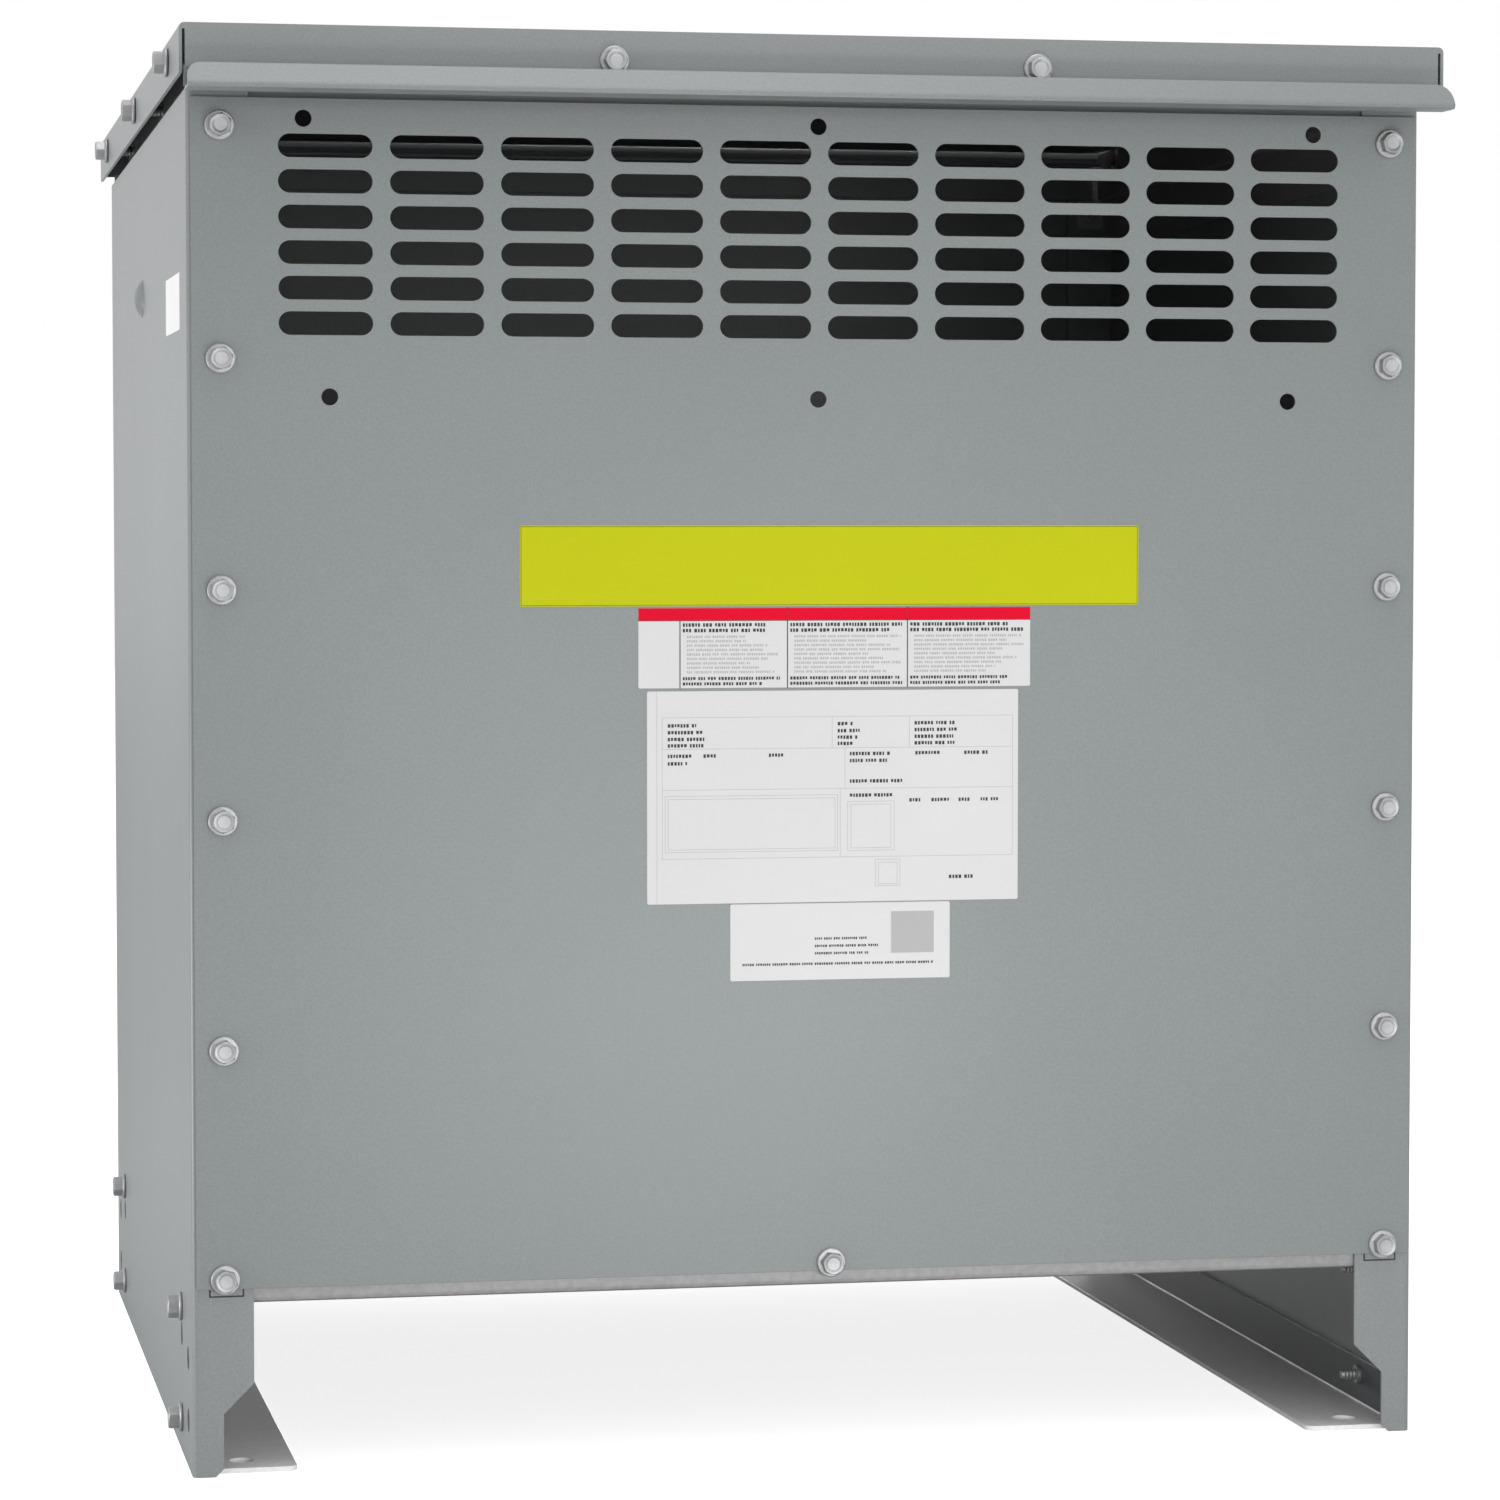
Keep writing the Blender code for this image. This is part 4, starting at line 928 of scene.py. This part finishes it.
def band_label():
    film("yellow_band_label", "yellow_label", BAND, LABEL_FACE, "front_panel")
    low = (BAND[0][0] + BORDER_INSET, BAND[0][1] + BORDER_INSET)
    high = (BAND[1][0] - BORDER_INSET, BAND[1][1] - BORDER_INSET)
    border = outline_rules(low, high, HEAD_LINE)
    printed("yellow_band_border", "olive_ink", border, INK_FACE, "front_panel")


def notice_label():
    """Three-column notice with a coloured head and no words."""
    film("notice_label", "white_label", NOTICE, LABEL_FACE, "front_panel")
    low, high = NOTICE
    printed("notice_head", "red_ink", [((low[0], NOTICE_HEAD), high)], INK_FACE, "front_panel")
    edges = list(NOTICE_COLUMNS) + [high[0]]
    lines = [rule((edges[0], low[1]), (edges[0], NOTICE_HEAD), COLUMN_LINE)]
    lines += [rule((x, low[1]), (x, high[1]), COLUMN_LINE) for x in edges[1:3]]
    lines.append(rule((low[0], NOTICE_HEAD), (high[0], NOTICE_HEAD), HEAD_LINE))
    pick = random.Random(4)

    def rows(start, end, block):
        low_end, high_end, *shape_of_rows = block
        bars = dummy_lines((start, low_end), (end, high_end), *shape_of_rows, pick)
        return broken_up(bars, pick)

    small = []
    for left, right in zip(edges, edges[1:]):
        start, end = left + COLUMN_START, right - COLUMN_END
        lines += rows(start, end, NOTICE_TOP_ROWS)
        lines += rows(start, end, NOTICE_LAST_ROWS)
        small += rows(start + SMALL_INDENT, end, NOTICE_SMALL_ROWS)
    printed("notice_ruling", "dark_ink_and_shade", lines, INK_FACE, "front_panel", THICK_INK)
    printed("notice_small_rows", "grey_ink", small, INK_FACE, "front_panel")


# the nameplate's form, in shares of its width and of its height from the top
FORM = ((0.040, 0.788), (0.985, 0.124))
FORM_MARGIN = ((0.026, 0.998), (0.026, 0.002))
FORM_ROWS = (0.272, 0.464)
FORM_COLUMNS = ((0.495, 0.124, 0.272), (0.704, 0.124, 0.272),
                (0.530, 0.272, 0.464), (0.517, 0.464, 0.788))
FORM_FRAMES = (((0.048, 0.757), (0.510, 0.493)), ((0.056, 0.745), (0.503, 0.508)),
               ((0.537, 0.758), (0.663, 0.526)), ((0.546, 0.746), (0.654, 0.540)),
               ((0.612, 0.927), (0.679, 0.802)), ((0.620, 0.918), (0.671, 0.816)))
CAPTIONS = (                   # across, down, and length in metres
    (0.055, 0.162, 0.014), (0.055, 0.194, 0.017), (0.055, 0.226, 0.018), (0.055, 0.256, 0.0185),
    (0.510, 0.158, 0.0075), (0.510, 0.191, 0.011), (0.510, 0.222, 0.0105), (0.510, 0.252, 0.0075),
    (0.718, 0.157, 0.0205), (0.718, 0.189, 0.0215), (0.718, 0.221, 0.0195), (0.718, 0.252, 0.0205),
    (0.055, 0.305, 0.0125), (0.150, 0.305, 0.0062), (0.325, 0.304, 0.008), (0.055, 0.340, 0.010),
    (0.543, 0.300, 0.0208), (0.720, 0.299, 0.0122), (0.853, 0.299, 0.0118), (0.543, 0.333, 0.0185),
    (0.543, 0.430, 0.0265), (0.543, 0.497, 0.0215), (0.704, 0.522, 0.0055), (0.764, 0.522, 0.0092),
    (0.838, 0.522, 0.0055), (0.898, 0.522, 0.0092), (0.812, 0.888, 0.0132))


def nameplate():
    """White nameplate with an empty ruled form."""
    film("nameplate", "white_label", PLATE, LABEL_FACE, "front_panel")
    (left, bottom), (right, top) = PLATE
    across, up = right - left, top - bottom

    def spot(u, v):
        return (left + across * u, top - up * v)

    form = outline_rules(spot(*FORM[0]), spot(*FORM[1]), FORM_LINE)
    form.append(rule(spot(*FORM_MARGIN[0]), spot(*FORM_MARGIN[1]), FORM_LINE))
    form += [rule(spot(FORM[0][0], v), spot(FORM[1][0], v), FORM_LINE) for v in FORM_ROWS]
    for u, v0, v1 in FORM_COLUMNS:
        form.append(rule(spot(u, v0), spot(u, v1), FORM_LINE))
    for low, high in FORM_FRAMES:
        form += outline_rules(spot(*low), spot(*high), FORM_LINE)
    printed("nameplate_ruling", "grey_ink", form, INK_FACE, "front_panel")

    captions = []
    for u, v, length in CAPTIONS:
        x, z = spot(u, v)
        captions.append(((x, z - CAPTION_HEIGHT / 2), (x + length, z + CAPTION_HEIGHT / 2)))
    captions = broken_up(captions, random.Random(6))
    printed("nameplate_captions", "dark_ink_and_shade", captions, INK_FACE, "front_panel")


def slips():
    """Small white slip under the nameplate, and one on the left side."""
    film("small_slip", "white_label", SLIP, LABEL_FACE, "front_panel")
    (left, bottom), (right, top) = SLIP
    rows = []
    for i, length in enumerate(SLIP_ROWS):
        start, low = left + SLIP_ROWS_LEFT, bottom + SLIP_ROWS_TOP - i * SLIP_ROW_PITCH
        rows.append(((start, low), (start + length, low + SLIP_ROW)))
    low = bottom + SLIP_LAST_ROW
    rows.append(((left + SLIP_MARGINS[0], low), (right - SLIP_MARGINS[1], low + SLIP_ROW)))
    rows = broken_up(rows, random.Random(8))
    printed("small_slip_rows", "dark_ink_and_shade", rows, INK_FACE, "front_panel")
    from_right, from_bottom, from_top = SLIP_SQUARE
    square = ((right - from_right, bottom + from_bottom), (right - SLIP_MARGINS[1], top - from_top))
    printed("small_slip_square", "grey_ink", [square], INK_FACE, "front_panel")
    # the side slip takes the lighter copy of the label film: painted light
    film("side_slip", "painted_lit_label", SIDE_SLIP, left_of(LEFT_LOW.x), "frame")


def labels():
    band_label()
    notice_label()
    nameplate()
    slips()


# ---------------------------------------------------------------- core and coils
def closed_sections(name, loops):
    """Closed section outlines as one mesh of edges, in its own X and Y."""
    mesh = bpy.data.meshes.new(name)
    verts, edges = [], []
    for loop in loops:
        start = len(verts)
        verts += [(x, y, 0.0) for x, y in loop]
        edges += [(start + i, start + (i + 1) % len(loop)) for i in range(len(loop))]
    mesh.from_pydata(verts, edges, [])
    return mesh


def wall_loop(inner, outer, low, high):
    """Section of one layer: a tall thin rectangle with eased corners, outwards from the path."""
    ease = LAYER_EASE
    return [(inner + ease, low), (outer - ease, low), (outer, low + ease), (outer, high - ease),
            (outer - ease, high), (inner + ease, high), (inner, high - ease), (inner, low + ease)]


def layers(count, pitch, first, low, high):
    """Sections of equal layers, one pitch apart from the first one's faces outwards."""
    return [wall_loop(first[0] + i * pitch, first[1] + i * pitch, low, high) for i in range(count)]


def turns_loop(inner, outer, low, high):
    """Section of a layer whose outer face shows its turns of wire."""
    count = max(1, round((high - low) / WIRE_PITCH))
    step = (high - low) / count
    depth = step * 0.32
    loop = [(inner, low)]
    for i in range(count):
        for share, sink in ((0.0, 1.0), (0.2, 0.3), (0.5, 0.0), (0.8, 0.3)):
            loop.append((outer - depth * sink, low + (i + share) * step))
    loop += [(outer - depth, high), (inner, high)]
    return loop


def wound_coil(name, finish, slot, loops, size, corner, centre, *nodes):
    base = closed_sections(name, [[(-x, y) for x, y in loop] for loop in loops])
    piece = grow(name, COIL, base, {"Width": size[0], "Depth": size[1], "Corner": corner,
                                    "Centre": centre, "Finish": FINISH[finish]})
    shape = bmesh.new()
    shape.from_mesh(piece.data)
    bmesh.ops.remove_doubles(shape, verts=shape.verts, dist=MERGE)
    bmesh.ops.recalc_face_normals(shape, faces=shape.faces)
    shape.to_mesh(piece.data)
    shape.free()
    smooth(piece.data, 50)
    return fit(piece, "frame", slot, *nodes)


def duct_stick():
    """Spacer stick with chamfered edges, upright, its width along X."""
    shape = bmesh.new()
    bmesh.ops.create_cube(shape, size=1.0)
    bmesh.ops.scale(shape, vec=STICK_SIZE, verts=shape.verts)
    bmesh.ops.bevel(shape, geom=shape.edges[:], offset=STICK_EASE, segments=1, affect="EDGES")
    return mesh_from("duct_stick", shape)


def path_of(low, high, wall):
    """Width and depth of a winding's inner face."""
    return (high.x - low.x - 2 * wall, high.y - low.y - 2 * wall)


def coils():
    centres = []
    for number in (1, 2, 3):
        low_name, high_name = "low_voltage_winding_%d" % number, "high_voltage_winding_%d" % number
        low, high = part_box(low_name)
        centre = (low + high) / 2
        centres.append(centre)
        half = (high.z - low.z) / 2
        shown = half - LV_MARGIN
        place = (path_of(low, high, LV_WALL), LV_CORNER, centre)
        foil = layers(3, LV_LAYER, LV_FOIL, -shown, shown)
        paper = layers(4, LV_LAYER, (0.0, LV_PAPER), -half, half)
        wound_coil("low_voltage_foil_%d" % number, "wire", "coil_varnish", foil, *place)
        wound_coil("low_voltage_paper_%d" % number, "paper", "coil_paper", paper, *place, low_name)
        shown = half - HV_MARGIN
        place = (path_of(*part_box(high_name), HV_WALL), HV_CORNER, centre)
        turns = layers(2, HV_LAYER, HV_TURNS, -shown, shown)
        turns.append(turns_loop(HV_LAST_TURNS, HV_WALL, -shown, shown))
        paper = layers(3, HV_LAYER, (0.0, HV_PAPER), -half, half)
        wound_coil("high_voltage_turns_%d" % number, "wire", "coil_varnish", turns, *place, high_name)
        wound_coil("high_voltage_paper_%d" % number, "paper", "coil_paper", paper, *place)
    stick = new_piece("duct_stick_pattern", duct_stick())
    lv_low, lv_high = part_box("low_voltage_winding_1")
    piece = grow("duct_sticks", STICKS, points_mesh("duct_sticks", centres), {
        "Width": lv_high.x - lv_low.x + DUCT, "Depth": lv_high.y - lv_low.y + DUCT,
        "Corner": DUCT_CORNER, "Count": STICKS_PER_DUCT, "Stick": stick, "Finish": FINISH["board"]})
    bpy.data.objects.remove(stick, do_unlink=True)
    fit(piece, "frame", "terminal_board")
    return centres


def support_blocks(centres):
    """Blocks that hold each coil off the bottom yoke and under the top clamps."""
    shape = bmesh.new()
    yoke_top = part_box("front_bottom_clamp")[1].z
    low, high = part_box("high_voltage_winding_1")
    top_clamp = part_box("front_top_clamp")[0].z
    for centre in centres:
        for x in (-BLOCK_REACH, BLOCK_REACH):
            for y in (low.y + BLOCK_INSET, high.y - BLOCK_INSET):
                for z0, z1 in ((yoke_top, low.z), (high.z, top_clamp)):
                    ends = bmesh.ops.create_cube(shape, size=1.0)["verts"]
                    size = (BLOCK_WIDE, BLOCK_DEEP, abs(z1 - z0))
                    bmesh.ops.scale(shape, vec=size, verts=ends)
                    bmesh.ops.translate(shape, vec=(centre.x + x, y, (z0 + z1) / 2), verts=ends)
    name = "coil_support_blocks"
    piece = finished_piece(name, mesh_from(name, shape), "board", "frame", "terminal_board")
    ease_edges(piece, THICK_EDGE)


def tube(name, runs, radius, finish, slot, *nodes, sides=3):
    """Round leads along smooth curves through their points, as one mesh."""
    curve = bpy.data.curves.new(name, "CURVE")
    curve.dimensions = "3D"
    curve.bevel_depth = radius
    curve.bevel_resolution = sides
    curve.use_fill_caps = True
    for run in runs:
        spline = curve.splines.new("POLY")
        spline.points.add(len(run) - 1)
        for knot, point in zip(spline.points, run):
            knot.co = (*point, 1.0)
    holder = new_piece(name + "_curve", curve)
    mesh = finished_mesh(holder)
    bpy.data.objects.remove(holder, do_unlink=True)
    mesh.shade_smooth()
    return finished_piece(name, mesh, finish, "frame", slot, *nodes)


def bezier(handles, count):
    points = []
    for i in range(count + 1):
        t = i / count
        weights = ((1 - t) ** 3, 3 * t * (1 - t) ** 2, 3 * t * t * (1 - t), t ** 3)
        parts = [weight * Vector(handle) for weight, handle in zip(weights, handles)]
        points.append(sum(parts, Vector()))
    return points


def ground_braid():
    """Strands twisted along the strap between the ground bar and the core clamp."""
    low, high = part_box("ground_strap")
    radius = (high.x - low.x) / 2
    x = (low.x + high.x) / 2
    start = Vector((x, low.y + radius, low.z))
    end = Vector((x, high.y, high.z - radius))
    rise, run = Vector((0, 0, BRAID_RISE)), Vector((0, BRAID_RUN, 0))
    path = bezier((start, start + rise, end - run, end), BRAID_STEPS)
    across = Vector((1, 0, 0))
    strands = []
    for k in range(STRANDS):
        strand = []
        for i, point in enumerate(path):
            ahead = path[min(i + 1, len(path) - 1)] - path[max(i - 1, 0)]
            ahead.normalize()
            up = across.cross(ahead)
            angle = 2 * math.pi * (k / STRANDS + TWISTS * i / len(path))
            reach = across * math.cos(angle) + up * math.sin(angle)
            strand.append(point + reach * radius * STRAND_REACH)
        strands.append(strand)
    tube("ground_strap_braid", strands, radius * STRAND_SIZE, "copper", "strap_braid", "ground_strap",
         sides=2)


def leads():
    """Sleeved leads from each high-voltage coil up to its terminal."""
    runs = []
    for number in (1, 2, 3):
        coil_low, coil_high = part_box("high_voltage_winding_%d" % number)
        stud = middle_of("line_terminal_%d" % number)
        lug_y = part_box("line_terminal_%d" % number)[1].y - LUG_INSET
        start_x = max(coil_low.x + LEAD_MARGIN, min(coil_high.x - LEAD_MARGIN, stud.x))
        runs.append(bezier(((start_x, coil_low.y + LEAD_ROOT, LEAD_START),
                            (start_x, coil_low.y - LEAD_BULGE, LEAD_START - LEAD_SINK),
                            (stud.x, lug_y, LEAD_START + LEAD_RISE),
                            (stud.x, lug_y, stud.z - LUG_DROP)), LEAD_STEPS))
    tube("winding_leads", runs, LEAD_RADIUS, "sleeve", "coil_paper")


def live_parts():
    """Bolts and nuts of the board, the bars, the terminals, the clamps and the ground bar."""
    forward, back, up = Vector((0, -1, 0)), Vector((0, 1, 0)), Vector((0, 0, 1))
    bolts = []
    for name in ("neutral_bus_bar", "bus_bar_1", "bus_bar_2", "bus_bar_3"):
        for z in (BOARD_LOW.z + BAR_BOLT_INSET, BOARD_HIGH.z - BAR_BOLT_INSET):
            bolts.append(Vector((middle_of(name).x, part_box(name)[0].y, z)))
    for x in (BOARD_LOW.x + BOARD_BOLT_INSET, BOARD_HIGH.x - BOARD_BOLT_INSET):
        for z in (BOARD_LOW.z + BOARD_BOLT_INSET, BOARD_HIGH.z - BOARD_BOLT_INSET):
            bolts.append(Vector((x, BOARD_LOW.y, z)))
    bolt = hex_screw("bar_bolt", *BAR_BOLT)
    fasten("board_bolts", bolt, bolts, [forward] * len(bolts), seed=13)

    nuts = []
    for number in (1, 2, 3):
        stud = middle_of("line_terminal_%d" % number)
        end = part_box("line_terminal_%d" % number)[1].y
        nuts += [Vector((stud.x, end, stud.z)), Vector((stud.x, end - LUG_SPACE, stud.z))]
    nut = hex_screw("terminal_nut", *TERMINAL_NUT)
    fasten("terminal_nuts", nut, nuts, [forward] * len(nuts),
           finish="brass", slot="stud_brass", seed=15)

    ties, tie_heads = [], []
    for clamp, head in (("front_bottom_clamp", forward), ("rear_bottom_clamp", back),
                        ("front_top_clamp", forward), ("rear_top_clamp", back)):
        low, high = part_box(clamp)
        face = high.y - CLAMP_WEB if head is forward else low.y + CLAMP_WEB
        for x in TIE_BOLTS:
            ties.append(Vector((x, face, high.z - TIE_DROP)))
            tie_heads.append(head)
    tie = hex_screw("tie_bolt", *TIE_BOLT)
    fasten("core_tie_bolts", tie, ties, tie_heads, seed=17)

    middle = (BAR_LOW.y + BAR_HIGH.y) / 2
    places = [BAR_LOW.x + GROUND_INSET + i * GROUND_PITCH for i in range(GROUND_SCREWS)]
    studs = [Vector((x, middle, BAR_HIGH.z)) for x in places if abs(x - STRAP_X) > STRAP_ROOM]
    screw = hex_screw("ground_screw", *GROUND_SCREW)
    fasten("ground_bar_screws", screw, studs, [up] * len(studs), seed=19)


def core_and_coils():
    for name in ("core_limbs", "core_top_yoke"):
        eased_copy(name, "core", "core_steel", THICK_EDGE, "_stack")
    for name in ("front_bottom_clamp", "rear_bottom_clamp", "front_top_clamp", "rear_top_clamp",
                 "left_support_channel", "right_support_channel"):
        eased_copy(name, "dark_paint_and_shade", "frame_steel", THICK_EDGE, "_steel")
    for name in ("front_left", "front_right", "rear_left", "rear_right"):
        eased_copy(name + "_isolator_pad", "rubber", "pad_rubber", RUBBER_EDGE, "_rubber")
    eased_copy("terminal_board", "board", "terminal_board", THICK_EDGE, "_laminate")
    # bars and ground bar take the darkened aluminium: painted shade
    for name in ("neutral_bus_bar", "bus_bar_1", "bus_bar_2", "bus_bar_3", "ground_bar"):
        eased_copy(name, "bus_metal", "bus_aluminium", BAR_EDGE, "_metal")
    for number in (1, 2, 3):
        eased_copy("line_terminal_%d" % number, "brass", "stud_brass", THICK_EDGE, "_stud")
    centres = coils()
    support_blocks(centres)
    ground_braid()
    leads()
    live_parts()


# ---------------------------------------------------------------- room, lights and camera
FLOOR_GLOW, SKY_LIGHT = 0.78, 0.66
SENSOR, LENS = 36.0, 113.306
CAMERA_PLACE = (-0.4799, -2.5158, 0.4581)
CAMERA_DIP, CAMERA_TURN = math.radians(2.794), math.radians(11.233)
SOFT_BOXES = (                 # name, place, aim, width and power
    ("left_soft_box", (-2.9, -1.2, 0.6), (0.0, 0.0, 0.30), 1.1, 5.9),
    ("front_soft_box", (0.6, -3.4, 0.6), (0.0, 0.0, 0.30), 1.1, 15.0),
    ("top_soft_box", (0.0, -0.5, 2.6), (0.0, 0.0, 0.60), 1.2, 14.5),
    ("front_low_box", (0.1, -1.15, 0.12), (0.1, 0.0, 0.20), 0.2, 1.85),
    ("left_low_box", (-1.25, -0.1, 0.12), (0.0, -0.1, 0.20), 0.2, 3.3),
    ("rear_low_box", (0.25, 1.35, 0.10), (0.1, 0.0, 0.0), 0.24, 7.0))


def white_floor():
    """Pale floor that shows white to the camera and keeps the object's shadow."""
    shape = bmesh.new()
    bmesh.ops.create_grid(shape, x_segments=1, y_segments=1, size=12.0)
    floor = new_piece("studio_floor", mesh_from("studio_floor", shape))
    floor.data.transform(Matrix.Translation((0.0, 0.0, -0.0002)))
    material, tree, shader = new_finish("white_floor", 0.9)
    shader.inputs["Base Color"].default_value = (0.80, 0.80, 0.80, 1.0)
    shader.inputs["Specular IOR Level"].default_value = 0.0
    seen = node(tree, "ShaderNodeLightPath").outputs["Is Camera Ray"]
    strength = node(tree, "ShaderNodeMath", {0: seen, 1: FLOOR_GLOW}, operation="MULTIPLY").outputs[0]
    glow = node(tree, "ShaderNodeEmission", {"Strength": strength})
    both = node(tree, "ShaderNodeAddShader", {0: shader.outputs["BSDF"], 1: glow.outputs["Emission"]})
    tree.links.new(both.outputs["Shader"], tree.nodes["Material Output"].inputs["Surface"])
    floor.data.materials.append(material)


def soft_sky():
    """Even light from all round, white where it is seen or mirrored."""
    world = bpy.data.worlds.new("studio")
    bpy.context.scene.world = world
    world.use_nodes = True
    tree = world.node_tree
    tree.nodes.clear()
    rays = node(tree, "ShaderNodeLightPath").outputs
    seen = rays["Is Camera Ray"]
    for kind in ("Is Glossy Ray", "Is Transmission Ray"):
        seen = node(tree, "ShaderNodeMath", {0: seen, 1: rays[kind]}, operation="MAXIMUM").outputs[0]
    strength = node(tree, "ShaderNodeMapRange", {"Value": seen, "To Min": SKY_LIGHT, "To Max": 1.0})
    sky = node(tree, "ShaderNodeBackground", {"Color": (1.0, 1.0, 1.0, 1.0),
                                                "Strength": strength.outputs["Result"]})
    out = node(tree, "ShaderNodeOutputWorld", {"Surface": sky.outputs["Background"]})
    out.is_active_output = True


def soft_box(name, place, aim, size, power):
    lamp = bpy.data.lights.new(name, "AREA")
    lamp.shape = "SQUARE"
    lamp.size = size
    lamp.energy = power
    holder = bpy.data.objects.new(name, lamp)
    bpy.context.scene.collection.objects.link(holder)
    holder.location = place
    holder.rotation_euler = (Vector(aim) - Vector(place)).to_track_quat("-Z", "Y").to_euler()


def stand_camera():
    lens = bpy.data.cameras.new("stand_camera")
    lens.lens = LENS
    lens.sensor_width = SENSOR
    camera = bpy.data.objects.new("stand_camera", lens)
    bpy.context.scene.collection.objects.link(camera)
    camera.location = CAMERA_PLACE
    camera.rotation_euler = (math.pi / 2 - CAMERA_DIP, 0.0, -CAMERA_TURN)
    bpy.context.scene.camera = camera


stand_camera()
white_floor()
soft_sky()
for soft_box_values in SOFT_BOXES:
    soft_box(*soft_box_values)
bpy.context.scene.view_settings.view_transform = "Standard"

sheet_metal()
all_fasteners()
labels()
core_and_coils()
